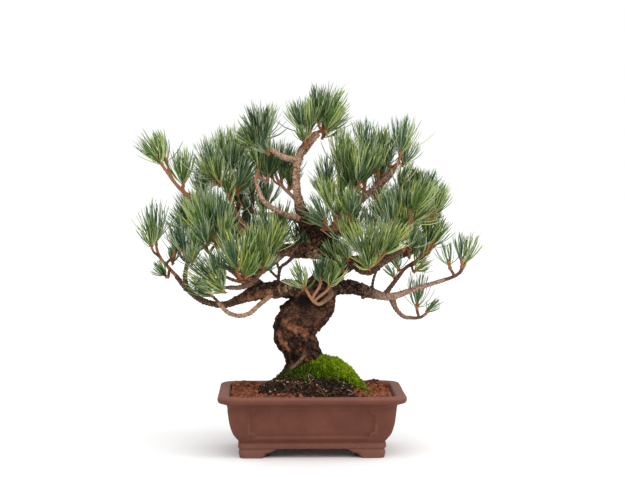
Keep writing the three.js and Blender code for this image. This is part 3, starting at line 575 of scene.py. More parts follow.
# %% Bark finish
CRACK_AND_SHADE_BLACK = (0.009, 0.006, 0.005)
BARED_WOOD = (0.185, 0.070, 0.034)
BARED_PALE = (0.340, 0.150, 0.076)
LICHEN = (0.300, 0.210, 0.140)
ASH = (0.130, 0.090, 0.082)
FIBRE_PALE = (0.270, 0.125, 0.070)
WRINKLE_WAY = (0.35, 0.0, 1.0)  # wrinkles cross this way on the trunk's front
BARKS = {  # young limb, dark plates, pale plates
    "trunk_bark": ((0.600, 0.370, 0.245), (0.030, 0.014, 0.009), (0.120, 0.052, 0.028)),
    "brown_bark": ((0.130, 0.074, 0.048), (0.045, 0.023, 0.014), (0.340, 0.190, 0.110)),
    "tan_bark": ((0.500, 0.285, 0.180), (0.090, 0.044, 0.026), (0.360, 0.200, 0.120)),
    "fair_bark": ((0.420, 0.260, 0.195), (0.034, 0.017, 0.012), (0.150, 0.082, 0.055)),
    "dusty_bark": ((0.250, 0.145, 0.100), (0.050, 0.026, 0.018), (0.190, 0.108, 0.072)),
    "root_bark": ((0.180, 0.120, 0.070), (0.050, 0.034, 0.020), (0.200, 0.130, 0.080)),
    "pink_bark": ((0.540, 0.330, 0.235), (0.150, 0.076, 0.052), (0.380, 0.210, 0.145)),
    "orange_bark": ((0.420, 0.190, 0.095), (0.130, 0.054, 0.028), (0.320, 0.145, 0.075)),
}


def bark_finish(name, young, dark, pale):
    bark = Finish(name, young, 0.85, 0.06)
    thick, crack = bark.stored("thick"), bark.stored("crack")
    dusty = bark.clouds(0.018, 3).between(0.38, 0.64)
    mottle = bark.clouds(0.0032, 3)
    wrinkle = bark.streaks(0.0010, 5, WRINKLE_WAY)
    tone = bark.stored("tone") * 0.40 + dusty * 0.40 + mottle * 0.6 + wrinkle * 0.4
    plates = bark.blend(tone.between(0.55, 1.35), dark, pale)
    plates = bark.blend(bark.clouds(0.0045, 3).between(0.60, 0.72) * (0.5 - 0.3 * dusty), plates, ASH)
    wood = bark.blend((mottle + bark.clouds(0.007, 2)).between(0.9, 1.2), BARED_WOOD, BARED_PALE)
    plates = bark.blend(bark.stored("bared") * (0.55 + 0.45 * wrinkle.between(0.35, 0.6)), plates, wood)
    fibre = bark.stored("fibre")
    plates = bark.blend(fibre.between(0.02, 0.40) * 0.35, plates, FIBRE_PALE)
    plates = bark.blend((0 - fibre).between(0.02, 0.40) * 0.40, plates, CRACK_AND_SHADE_BLACK)
    limb = bark.blend(mottle.between(0.46, 0.60) * 0.45, young, dark)
    colour = bark.blend(thick.between(3.6, 7.5), limb, plates)
    specks = bark.clouds(0.0019, 2).between(0.56, 0.64)
    colour = bark.blend(specks * (0.55 - 0.4 * thick.between(6.0, 14.0)), colour, LICHEN)
    # Cracks are darkened to near black, and so is the painted shade stored with the crack depth.
    crack_dark_and_shade = crack.between(0.15, 0.9) * (0.55 + 0.45 * thick.between(3.0, 7.0))
    colour = bark.blend(crack_dark_and_shade, colour, CRACK_AND_SHADE_BLACK)
    bark.colour(colour)
    bark.roughness(0.9 - 0.15 * dusty)
    bark.grain(bark.clouds(0.0011, 3) + wrinkle, 0.0006)
    return bark


barks = {name: bark_finish(name, *colours) for name, colours in BARKS.items()}
print("bark finishes", list(barks))

# %% [markdown]
# The trunk starts under the soil with its root flare and runs whole up through the crown. A bough
# starts inside its parent, so its bark simply comes out of the parent's bark, with a small collar
# where it leaves, as on a real branch. A few bits are too small for the solids and are made as very
# short limbs: a ragged flake that stands off high on the trunk's left, painted black as painted shade
# under the low-left bough, a bare root at its foot, and some thin twigs.

# %% Trunk and boughs
TRUNK_STEP, TRUNK_SIDES, TRUNK_GNARL = 0.85, 168, 0.05
BOUGH_STEP, BOUGH_GNARL, COLLAR = 0.75, 0.02, 0.35
BOUGH_GRID = 0.8  # millimetres from point to point round a bough
BIT_STEP, BIT_SIDES, BIT_GNARL = 0.6, 24, 0.12
BARK_OF_BOUGH = {
    "leader_left": "pink_bark", "hook": "pink_bark", "upper_right_front": "pink_bark",
    "upper_left": "orange_bark", "crown_left": "orange_bark", "mid_left_fork": "orange_bark",
    "mid_left": "tan_bark", "low_left_sling": "tan_bark",
    "upper_right": "fair_bark", "low_right": "fair_bark",
    "low_right_drop": "dusty_bark", "mid_left_front": "dusty_bark", "front_twig": "dusty_bark",
}


def add_bark(name, path, finish, node, apart, sides, gnarl, collar=0, **instead):
    """Adds a limb's bark as a piece. A number in instead is kept for all its points."""
    points, faces, kept = bark_mesh(path, apart, sides, gnarl, collar)
    kept |= {key: np.full(len(points), number) for key, number in instead.items()}
    slot = "bark" if node == "trunk" else "bough_bark"
    add_piece(name, points, faces, [barks[finish]], [node], slot, stored=kept)
    return len(faces)


made = add_bark("trunk_bark", TRUNK, "trunk_bark", "trunk", TRUNK_STEP, TRUNK_SIDES, TRUNK_GNARL)
for name, path in BOUGHS.items():
    sides = int(np.clip(2 * math.pi * max(row[3] for row in path) / BOUGH_GRID, 20, 60))
    finish = BARK_OF_BOUGH.get(name, "brown_bark")
    made += add_bark("bark_" + name, path, finish, "bough_" + name, BOUGH_STEP, sides, BOUGH_GNARL, COLLAR)

BITS = {  # finish, node, path: small pieces of wood and bark that the solids leave out
    "flake": ("trunk_bark", "trunk", [
        (-12, -12, 165, 7), (-21, -12, 162.5, 4.2), (-28, -12, 160.5, 2.6), (-35, -12, 159.5, 1.3)]),
    "flake_spur": ("trunk_bark", "trunk", [(-21, -12, 162, 3.2), (-24, -12, 166.5, 1.2)]),
    "flake_root": ("trunk_bark", "trunk", [(-27, -12, 161, 2.0), (-29, -12, 164, 0.9)]),
    "bare_root": ("root_bark", "trunk", [
        (-22, -24, 93, 1.6), (-18, -26, 97, 1.7), (-13, -26, 101.5, 1.6), (-8, -24, 107, 1.2)]),
    "hanging_twig": ("brown_bark", "bough_mid_left", [
        (-19, 2, 214, 2.2), (-27, -3, 207, 1.9), (-34, -6, 201, 1.9), (-36.5, -8, 184, 1.8)]),
    "short_arm": ("brown_bark", "bough_mid_left", [
        (-35, -6, 200, 1.5), (-37, -6, 206, 1.4), (-38, -5, 213, 1.2)]),
    "long_arm": ("brown_bark", "bough_mid_left", [
        (-37, -8, 192, 1.5), (-42, -8, 196, 1.4), (-48, -8, 203, 1.3), (-49, -6, 208, 1.2)]),
    "cross_twig": ("orange_bark", "bough_mid_left_front", [
        (-69, -20, 186, 2.0), (-77, -22, 187.5, 1.7), (-86, -22, 190, 1.6), (-97, -22, 195, 1.3)]),
    "cross_spur": ("orange_bark", "bough_mid_left_front", [
        (-76, -22, 187, 1.5), (-82, -21, 194, 1.4), (-89, -20, 202, 1.2)]),
    "upright_twig": ("brown_bark", "bough_low_right", [
        (66.5, -7, 176, 1.8), (68, -6, 188, 1.5), (72, -5, 200, 1.2), (75, -5, 207, 1.0)]),
    "bud_twig": ("orange_bark", "bough_upper_right", [
        (72, 10, 290, 1.6), (74, 6, 300, 1.4), (74, 5, 317, 1.3)]),
    "stub": ("brown_bark", "bough_low_right", [(58, -8, 173, 3.2), (56, -9, 168, 1.8)]),
}
for name, (finish, node, path) in BITS.items():
    # Painted shade: the flakes get a high crack depth, so they are painted near black for the shade under
    # the low-left bough.
    flake_shade = {"crack": 0.75, "thick": 12.0} if "flake" in name else {}
    made += add_bark("bark_" + name, path, finish, node, BIT_STEP, BIT_SIDES, BIT_GNARL, **flake_shade)
print("bark faces", made)

# %% [markdown]
# Foliage follows a rule. A mass of needles hangs on one limb. It has fans, a fan has one shoot or
# several, and each shoot has a place and a lean. The twig to the furthest shoot leads on from the
# limb, and the other twigs fork off it. This is the rule of the solids with the same numbers, so the
# twigs and tufts made here fill the space of the solids and no more.

# %% The masses
def fan(at, lean, size=1.0, count=1, half=(0, 0, 0)):
    """A row of shoots. half leads from its middle to its last shoot."""
    return at, lean, size, count, half


MASSES = {
    "far_left_high": ("upper_left", 1, [fan((-164, 8, 315), -0.7, 0.95), fan((-159, 13, 317), -0.35, 0.9),
        fan((-141, 14, 292), -0.05), fan((-121, 24, 281), 0.1, 0.8)]),
    "left_crown": ("crown_left", 1, [fan((-97, 16, 306), -0.05, 1.1, 3, (10, 9, 8)),
        fan((-80, 12, 289), 0.4)]),
    "left_back": ("low_left_back", 1, [fan((-117, 32, 240), -0.15, 1, 4, (14, -4, -7))]),
    "far_left_low": ("low_left", 1, [fan((-170.5, 9, 228), -0.05, 1.1), fan((-149, -8, 219), 0.1, 0.7),
        fan((-158, -12, 193), -0.7, 0.5)]),
    "left_front": ("mid_left_front", 1, [fan((-103, -36, 186), -1.1, 0.95),
        fan((-99, -35, 189), -0.25, 0.9)]),
    "left_sling": ("low_left_sling", 1, [fan((-107, -25, 172), -1, 0.8)]),
    "left_middle": ("mid_left_fork", 1, [fan((-107, -20, 240), -0.1, 1.15, 3, (9, 6, -2))]),
    "left_inner": ("mid_left", 1, [fan((-76, -42, 203), -0.05, 1.1, 2, (4, 3, 2)),
        fan((-53, -32, 212), 0.15, 1.05, 2, (5, 4, 2)), fan((-41, -10, 236), 0, 0.9, 2, (7, 6, 3))]),
    "upper_left_tip": ("leader_left", 1, [fan((-54, -20, 341), 0, 0.95, 2, (2, 4, 1)),
        fan((-59, -21, 334), -1, 0.7)]),
    "hook_tip": ("hook", 1, [fan((-58, 4, 313), -0.1, 0.8), fan((-48, 6, 299), 0.1, 0.8)]),
    "leader_back": ("trunk", 0.79, [fan((-36, 20, 306), 0, 0.9, 2, (4, 3, -2)),
        fan((-24, 14, 296), 0, 0.85)]),
    "apex": ("trunk", 1, [fan((11, 3, 358), 0.2, 1.1, 2, (2.5, 4, 0)), fan((19, 8, 354), 0.6, 0.8)]),
    "apex_left": ("trunk", 0.92, [fan((-1, -10, 351), -0.05, 0.9), fan((-10.5, -3, 351), -0.25, 0.85),
        fan((-3, 15, 350), 0, 0.8)]),
    "right_crown": ("upper_right_front", 1, [fan((30, -8, 314), 0.1), fan((18, -14, 290), -0.15, 0.85),
        fan((47, -25, 297), 0.1, 1.1, 2, (4, -6, -4))]),
    "right_rise": ("upper_right", 0.51, [fan((61, 6, 323), -0.1), fan((74, 14, 316), 0.1)]),
    "right_top": ("upper_right", 1, [fan((98, 4, 325), 0.15), fan((86, 18, 314), -0.1)]),
    "right_shoulder": ("mid_right_rise", 1, [fan((95, -16, 287), 0.4, 0.8),
        fan((119, -6, 281), 0.1, 0.75, 2, (4, 6, -2))]),
    "right_out": ("mid_right_back", 1, [fan((131, 4, 262), 0.1, 0.85, 3, (6, 10, -2)),
        fan((115, 44, 240), 0.1, 0.95, 3, (14, -6, 2))]),
    "trunk_front": ("trunk", 0.7, [fan((26, -30, 269), -0.1, 0.85, 2, (5, 3, 1)),
        fan((15, -26, 252), -0.5, 0.8), fan((41, -44, 260), 0, 0.85)]),
    "heart_front": ("trunk", 0.66, [fan((39, -37, 228), -0.15, 0.9), fan((45, -22, 243), 0.1, 0.85),
        fan((26, -48, 209), -0.6, 0.7)]),
    "front_right": ("mid_right", 0.48, [fan((60, -50, 217), -0.1, 1.05, 2, (5, 3, 0)),
        fan((76, -56, 219), 0.6)]),
    "right_middle": ("mid_right", 1, [fan((95, -26, 247), -0.05, 1.05, 3, (8, 5, 0)),
        fan((106, -38, 225), 0.3, 0.7), fan((108, -42, 264), 0.55)]),
    "far_right": ("low_right", 1, [fan((167, -3, 205), 0.12, 0.85, 2, (2, 4, 0)),
        fan((151, -14, 203), -0.3, 0.75)]),
    "right_drop": ("low_right_drop", 1, [fan((117, 6, 156), 0.05), fan((127, 3, 151), 0.9, 0.5)]),
    "right_twig": ("low_right_twig", 1, [fan((131, 0, 225), 0.3, 0.8, 2, (3, 5, 0)),
        fan((114, 4, 206), 0.7, 0.7), fan((97, 5, 199), -0.3, 0.6)]),
    "front": ("front_twig", 1, [fan((-7, -50, 182), -0.5, 0.8), fan((9, -51, 189), 0, 0.8),
        fan((18, -46, 183), 0.45, 0.8)]),
    "back_left_tip": ("back_left", 1, [fan((-90, 64, 236), -0.2, 1, 4, (20, -6, -3))]),
    "back_middle_tip": ("back_middle", 1, [fan((-64, 50, 270), -0.15, 0.9, 3, (13, 5, -3))]),
    "back_high_tip": ("back_high", 1, [fan((60, 48, 292), 0.1, 1, 3, (16, 5, -3))]),
    "back_right_tip": ("back_right", 1, [fan((98, 64, 244), 0.2, 1, 4, (20, 6, -3))]),
    "trunk_back": ("trunk", 0.62, [fan((-6, 28, 229), -0.05), fan((16, 50, 230), 0.1, 1, 2, (14, -3, 6))]),
    "left_rise": ("low_left_rise", 1, [fan((-133, -19, 217), -0.05, 1, 2, (5, -5, 1))]),
}

print("masses", len(MASSES), "shoots", sum(one[3] for _, _, fans in MASSES.values() for one in fans))

# %% [markdown]
# Now the rule itself. A fan of several shoots is bowed up in the middle, and every other shoot stands
# further back. Shoots near the front of the tree lean to the front, and those at the back lean back.
# A twig is a Bezier curve that leaves along one direction and arrives along another, because a twig
# leaves its limb at an angle and then turns up to the light.

# %% Shoots and twigs
FAN_BOW, FAN_STEP, FAN_SPREAD = 6, 10, 0.2
OUTWARD_REACH, MOST_FORWARD, MOST_BACK = 110, -0.45, 0.6
TWIG_RADIUS, TWIG_PULL, BARE_TWIG, FORK_SHARE = 1.5, 0.4, 5, 0.45


def shoots_of(at, lean, size, count, half):
    at, half = np.array(at, float), np.array(half, float)
    made = []
    for k in range(count):
        t = 2 * k / (count - 1) - 1 if count > 1 else 0
        bow = FAN_BOW * (1 - t * t) if count > 2 else 0
        back = FAN_STEP * (k % 2) if count > 2 else 0
        base = at + t * half + (0, back, bow)
        outward = np.clip(base[1] / OUTWARD_REACH, MOST_FORWARD, MOST_BACK)
        along = unit((lean + FAN_SPREAD * t, outward, 1))
        made.append({"base": base, "along": along, "size": size})
    return made


def bezier(corners, shares):
    """Points of the curve that four corners give, at shares from 0 to 1 of it."""
    t = np.atleast_1d(shares)[:, None]
    return np.hstack([(1 - t) ** 3, 3 * t * (1 - t) ** 2, 3 * t**2 * (1 - t), t**3]) @ np.array(corners)


def bend(start, leaving, end, arriving, shares):
    """Points of a twig's curve."""
    pull = TWIG_PULL * np.linalg.norm(end - start)
    return bezier([start, start + leaving * pull, end - arriving * pull, end], shares)


def add_twig(shoot, start, way, first_radius, last_radius):
    """Gives a shoot its twig: middles about a millimetre apart, and radii."""
    shares = np.linspace(0, 1, max(int(np.linalg.norm(shoot["base"] - start) / 1.1), 4))
    shoot["middles"] = bend(start, way, shoot["base"], shoot["along"], shares)
    shoot["radii"] = first_radius + (last_radius - first_radius) * shares


def lay_out(limb, share, fans):
    """The shoots of a mass, the furthest first, each with the middles and radii of its twig."""
    root, direction, radius = limb_at(limb, share)
    shoots = [shoot for one in fans for shoot in shoots_of(*one)]
    shoots.sort(key=lambda shoot: -np.linalg.norm(shoot["base"] - root))
    far = shoots[0]
    reach = np.linalg.norm(far["base"] - root)
    leaving = unit(far["base"] - root) if share < 1 else direction
    thick = min(TWIG_RADIUS * (1 + 0.12 * len(shoots)), radius)
    bare = (BARE_TWIG + (radius if share < 1 else 0)) / reach
    for i, shoot in enumerate(shoots):
        start, way, first_radius = root, leaving, thick
        if i > 0:
            fork = max(bare, FORK_SHARE * np.linalg.norm(shoot["base"] - root) / reach)
            nearby = bend(root, leaving, far["base"], far["along"], [fork - 1e-3, fork, fork + 1e-3])
            start, way, first_radius = nearby[1], unit(nearby[2] - nearby[0]), TWIG_RADIUS * 1.1
        add_twig(shoot, start, way, first_radius, TWIG_RADIUS)
    return shoots


print("shoots of the left crown's mass", len(lay_out(*MASSES["left_crown"])))

# %% [markdown]
# The solids stop there. On the real tree most twigs fork once more, close under the tuft, and the
# side shoot carries a smaller tuft. Those finer twigs are added here by the same rule, leaning mostly
# to the front or back so that the crown gets deeper and not wider.

# %% Finer twigs
FINER_SHOOTS = {  # side shoots to each shoot of a mass, where it isn't one
    "far_left_high": 0, "far_left_low": 0.3, "left_sling": 0, "far_right": 0, "front": 0.3,
    "left_crown": 1.6, "left_back": 1.5, "left_middle": 1.5, "left_inner": 1.5, "left_front": 1,
    "right_crown": 1, "right_rise": 1, "right_out": 0.8, "right_middle": 1.3, "heart_front": 0.8,
    "trunk_front": 0.8, "right_drop": 0, "hook_tip": 0.5, "apex": 0.5, "apex_left": 0.5,
}
FINER_SIZE, FINER_LEAN = (0.62, 0.85), (0.15, 0.4)  # least and most
FINER_OUT, FINER_DOWN = (5.5, 10.0), (4.0, 13.0)  # millimetres from the main shoot's foot


def turned(vector, axis, angle):
    """vector turned about axis, for vectors square to it."""
    return vector * math.cos(angle) + np.cross(axis, vector) * math.sin(angle)


def finer_shoots(name, shoots, rng):
    """Side shoots for a mass, each on its own short twig off the twig of a main shoot."""
    wanted, made = FINER_SHOOTS.get(name, 1), []
    for shoot in shoots:
        count = int(wanted) + (rng.random() < wanted % 1)
        first = rng.choice([0.5, 1.5]) * math.pi
        for k in range(count):
            along = shoot["along"]
            across = unit(np.cross((0, 1, 0), along))
            angle = first + k * math.pi + rng.normal(0, 0.55)
            out = turned(across, along, angle)
            size = shoot["size"] * rng.uniform(*FINER_SIZE)
            base = shoot["base"] + out * rng.uniform(*FINER_OUT) - along * rng.uniform(*FINER_DOWN)
            side = {"base": base, "along": unit(along + out * rng.uniform(*FINER_LEAN)), "size": size}
            spot = int(len(shoot["middles"]) * rng.uniform(0.35, 0.6))
            start = shoot["middles"][spot]
            way = unit(shoot["middles"][spot + 1] - start)
            add_twig(side, start, way, TWIG_RADIUS * 0.9, TWIG_RADIUS * 0.75)
            made.append(side)
    return made


trees = {}
for order, (name, (limb, share, fans)) in enumerate(MASSES.items()):
    main = lay_out(limb, share, fans)
    trees[name] = main + finer_shoots(name, main, np.random.default_rng(300 + order))
print("shoots in all", sum(len(shoots) for shoots in trees.values()))

# %% [markdown]
# White pine carries its needles in bundles of five at the end of a shoot. A needle is three-sided:
# the outer face is green, and the two inner faces have white lines, so a tuft looks green from
# outside and silvery where it opens. That is why each needle here is a real three-sided blade with
# two colours. The bundles stand round the shoot by the golden angle. Low ones leave it sideways and
# curve up, so the tuft is a cup, and the last ones stand nearly straight.

# %% Needle rule
SPARSE = {"far_right": 0.45, "right_drop": 0.6, "right_twig": 0.7, "front": 0.8}  # share of its bundles
NEEDLE_LENGTH, NEEDLE_WIDTH, SHOOT_LENGTH = 37, 0.98, 9
BUNDLES_A_SHOOT, NEEDLES_A_BUNDLE = 14, 5
LOW_TILT, HIGH_TILT = 0.50, 0.08
LEAVE_LOW, LEAVE_HIGH = 0.56, 0.14  # how much further out a needle leaves than its tip stands
SPREAD = 0.13  # of a bundle's needles, as a share of their length
STRAYS = 0.05  # share of the needles that hang out of line
SECTIONS = np.array([0.0, 0.3, 0.62, 0.88])  # where a needle has a ring of points
SECTION_WIDTH = np.array([0.75, 1.0, 0.95, 0.75])
ROOM = 5  # millimetres that a tip may stand out of the solids' box


def seeded(seed):
    """The same numbers from 0 to 1 on every run, as in the solids."""
    state = seed
    while True:
        state = (state + 0x6D2B79F5) & 0xFFFFFFFF
        t = ((state ^ (state >> 15)) * (1 | state)) & 0xFFFFFFFF
        t = ((t + (((t ^ (t >> 7)) * (61 | t)) & 0xFFFFFFFF)) & 0xFFFFFFFF) ^ t
        yield ((t ^ (t >> 14)) & 0xFFFFFFFF) / 4294967296


limb_rods = [evenly(path, 4)[:2] for path in LIMBS.values()]
ROD_PLACES, ROD_RADII = (np.concatenate(parts) for parts in zip(*limb_rods))


def is_clear(start, end):
    """True if a straight needle bundle touches no limb."""
    line = start + np.linspace(0.25, 1, 6)[:, None] * (end - start)
    apart = np.linalg.norm(line[:, None] - ROD_PLACES[None], axis=2)
    return bool((apart > ROD_RADII + 0.8).all())


def bundles_of(shoot, draw, full):
    """Where a shoot's bundles start, where they point, their outer side, reach and share of the way."""
    along, size, base = shoot["along"], shoot["size"], shoot["base"]
    side = unit(np.cross(along, (0.3, 1, 0.2)))
    around = next(draw) * 2 * math.pi
    count = max(round(BUNDLES_A_SHOOT * full * (0.35 + 0.65 * size)), 5)
    made = []
    for i in range(count):
        around += math.pi * (3 - math.sqrt(5))
        share = (i + 0.5) / count
        tilt = LOW_TILT + (HIGH_TILT - LOW_TILT) * share + 0.16 * (next(draw) - 0.5)
        reach = size * NEEDLE_LENGTH * (0.88 + 0.2 * next(draw))
        start = base + along * size * SHOOT_LENGTH * (-0.1 + 1.05 * share)
        for turn in (0, 0.3, -0.3, 0.6, -0.6, 0.9, -0.9):
            out = turned(side, along, around + turn)
            way = along * math.cos(tilt) + out * math.sin(tilt)
            if is_clear(start, start + way * reach):
                made.append((start, way, out, reach, share))
                break
    return made


print("bundles keep clear of", len(ROD_PLACES), "places along the limbs")

# %% [markdown]
# One needle would be slow to make thousands of times over in a loop, so all needles of a mass are
# worked out at once as arrays: where each starts, the point that its curve bends towards, and its tip.

# %% Needles as arrays
BOX_LOW = (np.array(CAD_BOX[0]) - POT_PLACE) / MM - ROOM
BOX_HIGH = (np.array(CAD_BOX[1]) - POT_PLACE) / MM + ROOM


def needle_lines(bundles, rng):
    """Start, bend and tip of every needle, and the direction that its pale faces look."""
    start, way, out, reach, share = (
        np.repeat(np.array(v), NEEDLES_A_BUNDLE, axis=0) for v in zip(*bundles))
    count = len(start)
    reach = (reach * rng.uniform(0.86, 1.06, count))[:, None]
    spread = rng.normal(0, 1, (count, 3))
    spread -= (spread * way).sum(1, keepdims=True) * way
    leave_out = LEAVE_LOW + (LEAVE_HIGH - LEAVE_LOW) * share[:, None] + rng.normal(0, 0.1, (count, 1))
    stray = (rng.random(count) < STRAYS)[:, None]
    tip_way = np.where(stray, unit(way + out * 0.75), way)
    leave = unit(way + out * np.where(stray, 2.0, leave_out) - (0, 0, 0.5) * stray)
    tip = start + tip_way * reach + spread * reach * SPREAD
    middle = start + leave * reach * 0.48 + spread * reach * SPREAD * 0.3
    inside = -out + 0.8 * rng.normal(0, 1, (count, 3))
    return start, np.clip(middle, BOX_LOW, BOX_HIGH), np.clip(tip, BOX_LOW, BOX_HIGH), inside


def needle_mesh(start, middle, tip, inside, width):
    """Three-sided blades: points and triangles, and which triangles are the pale inner faces."""
    count, rings = len(start), len(SECTIONS)
    t = SECTIONS[None, :, None]
    line = (1 - t) ** 2 * start[:, None] + 2 * t * (1 - t) * middle[:, None] + t**2 * tip[:, None]
    along = unit(tip - start)
    inward = unit(inside - (inside * along).sum(1, keepdims=True) * along)
    across = np.cross(along, inward)
    half = width[:, None, None] * SECTION_WIDTH[None, :, None] / 2
    corners = [
        line + inward[:, None] * half,
        line - inward[:, None] * half * 0.5 + across[:, None] * half,
        line - inward[:, None] * half * 0.5 - across[:, None] * half,
    ]
    points = np.concatenate([np.stack(corners, 2).reshape(count, rings * 3, 3), tip[:, None]], axis=1)
    faces, pale = [], []
    for ring in range(rings - 1):
        for side in range(3):
            a, b = ring * 3 + side, ring * 3 + (side + 1) % 3
            faces += [(a, b, b + 3), (a, b + 3, a + 3)]
            pale += [side != 1] * 2
    last = (rings - 1) * 3
    for side in range(3):
        faces.append((last + side, last + (side + 1) % 3, rings * 3))
        pale.append(side != 1)
    faces.append((0, 2, 1))
    pale.append(False)
    offsets = np.arange(count)[:, None, None] * (rings * 3 + 1)
    return points.reshape(-1, 3), (np.array(faces)[None] + offsets).reshape(-1, 3), np.tile(pale, count)


print("needles stay between", BOX_LOW.round(), "and", BOX_HIGH.round())

# %% [markdown]
# Colour is dealt out in sprays. A tuft has a main shade, green, blue-green or deep green, and a few of
# its bundles are older and yellower. The masses at the back of the crown are mostly deep green, as
# painted shade. Each shade is a pair of plain colours, one for the outer face and one for the silvery
# inner faces.

# %% Needle colours
SHADES = {  # outer face, inner faces
    "leaf_green": ((0.058, 0.125, 0.018), (0.440, 0.510, 0.210)),
    "blue_green": ((0.036, 0.096, 0.040), (0.370, 0.450, 0.270)),
    "deep_green": ((0.014, 0.040, 0.011), (0.160, 0.220, 0.085)),
    "yellow_green": ((0.140, 0.205, 0.020), (0.440, 0.490, 0.140)),
}
YELLOW_SHARE = {  # of a mass's bundles, where it isn't a few
    "apex": 0.0, "apex_left": 0.0, "left_front": 0.35, "front_right": 0.3, "right_twig": 0.3,
    "right_middle": 0.15, "left_inner": 0.2,
}
# Painted shade: these masses at the back of the crown get mostly deep green needles and brown twigs.
SHADED_BACK_MASSES = ("leader_back", "trunk_back", "back_middle_tip", "back_left_tip")

needle_finishes = []
for shade, (outer, inner) in SHADES.items():
    needle_finishes.append(Finish(shade + "_outer", outer, 0.40, 0.25))
    needle_finishes.append(Finish(shade + "_inner", inner, 0.6, 0.10))
print("needle finishes", len(needle_finishes))


def shades_of(name, count, rng):
    """The shade of each of a spray's bundles."""
    main = rng.choice([2, 2, 1] if name in SHADED_BACK_MASSES else [0, 0, 1, 1, 2])
    draw = rng.random(count)
    yellow = YELLOW_SHARE.get(name, 0.04)
    return np.select([draw < yellow, draw < yellow + 0.25], [3, rng.integers(0, 3, count)], main)

# %% [markdown]
# Twigs are short and rough, with the scars of old bundles. Where the needles start, bud scales stand
# round the shoot like a small red-brown knot, and a bud ends it. Twigs are joined by mass, and their
# plain colours are dealt out by height, orange-brown in the sunny top and brown below. The twigs in
# front of the trunk and by the leader are tan.

# %% Twigs
TWIG_SIDES, SCALES_A_SHOOT, SUNNY_HEIGHT = 9, 11, 235
twig_brown = Finish("twig_brown", (0.130, 0.070, 0.044), 0.85)
twig_orange = Finish("twig_orange", (0.330, 0.140, 0.066), 0.8)
bud_red = Finish("bud_red", (0.330, 0.100, 0.038), 0.7)
twig_tan = Finish("twig_tan", (0.330, 0.170, 0.100), 0.85)
TWIG_FINISHES = [twig_brown, twig_orange, bud_red, twig_tan]
TAN_TWIGS = ("front", "leader_back", "upper_left_tip", "hook_tip")


def twig_mesh(shoot, name, rng):
    """A twig with its shoot and bud: points, faces, and the colour of each face."""
    base, along, size = shoot["base"], shoot["along"], shoot["size"]
    ups = np.array([0.15, 0.35, 0.55, 0.75, 0.95, 1.15, 1.35, 1.5]) * SHOOT_LENGTH * size
    swell = np.array([1.15, 1.1, 1.2, 1.1, 1.15, 1.0, 0.75, 0.12]) * TWIG_RADIUS * (0.6 + 0.4 * size)
    middles = np.vstack([shoot["middles"], base + ups[:, None] * along])
    radii = np.concatenate([shoot["radii"], swell])
    out, angle = skin(middles, TWIG_SIDES)
    rows = np.arange(len(middles))[:, None]
    rough = 1 + 0.10 * np.sin(3 * angle + rows * 2.4) + rng.normal(0, 0.07, (len(middles), TWIG_SIDES))
    places = (middles[:, None] + (radii[:, None] * rough)[..., None] * out).reshape(-1, 3)
    row = np.repeat(np.arange(len(middles) - 1), TWIG_SIDES)
    sunny = int(base[2] + rng.normal(0, 12) > SUNNY_HEIGHT)
    # The masses in painted shade at the back get brown twigs throughout.
    older, newer = (3, 3) if name in TAN_TWIGS else (0, 0) if name in SHADED_BACK_MASSES else (sunny, 1)
    young = row > 0.72 * len(shoot["middles"])
    colour = np.where(row > len(middles) - 5, 2, np.where(young, newer, older))
    return places, grid_faces(len(middles), TWIG_SIDES), colour


print("twig finishes", len(TWIG_FINISHES))

# %% [markdown]
# Buds, grit and earth crumbs are all small lumps: a twenty-sided solid whose corners are each pushed
# in or out. One function makes any number of them.

# %% Lumps
GOLDEN = (1 + math.sqrt(5)) / 2
LUMP_POINTS = unit([
    (-1, GOLDEN, 0), (1, GOLDEN, 0), (-1, -GOLDEN, 0), (1, -GOLDEN, 0),
    (0, -1, GOLDEN), (0, 1, GOLDEN), (0, -1, -GOLDEN), (0, 1, -GOLDEN),
    (GOLDEN, 0, -1), (GOLDEN, 0, 1), (-GOLDEN, 0, -1), (-GOLDEN, 0, 1)])
LUMP_FACES = np.array([
    (0, 11, 5), (0, 5, 1), (0, 1, 7), (0, 7, 10), (0, 10, 11), (1, 5, 9), (5, 11, 4), (11, 10, 2),
    (10, 7, 6), (7, 1, 8), (3, 9, 4), (3, 4, 2), (3, 2, 6), (3, 6, 8), (3, 8, 9), (4, 9, 5),
    (2, 4, 11), (6, 2, 10), (8, 6, 7), (9, 8, 1)])


def lumps(middles, sizes, rng, flatten=0.8):
    """Rough lumps of those sizes round those middles: points and faces."""
    count = len(middles)
    shapes = LUMP_POINTS[None] * rng.uniform(0.72, 1.18, (count, len(LUMP_POINTS), 1))
    shapes *= rng.uniform(0.75, 1.2, (count, 1, 3)) * (1, 1, flatten)
    angle = rng.uniform(0, 2 * math.pi, count)
    cos, sin = np.cos(angle)[:, None], np.sin(angle)[:, None]
    x = shapes[..., 0] * cos - shapes[..., 1] * sin
    y = shapes[..., 0] * sin + shapes[..., 1] * cos
    shapes = np.stack([x, y, shapes[..., 2]], -1) * sizes[:, None, None] / 2
    points = (np.asarray(middles)[:, None] + shapes).reshape(-1, 3)
    faces = (LUMP_FACES[None] + np.arange(count)[:, None, None] * len(LUMP_POINTS)).reshape(-1, 3)
    return points, faces.tolist()


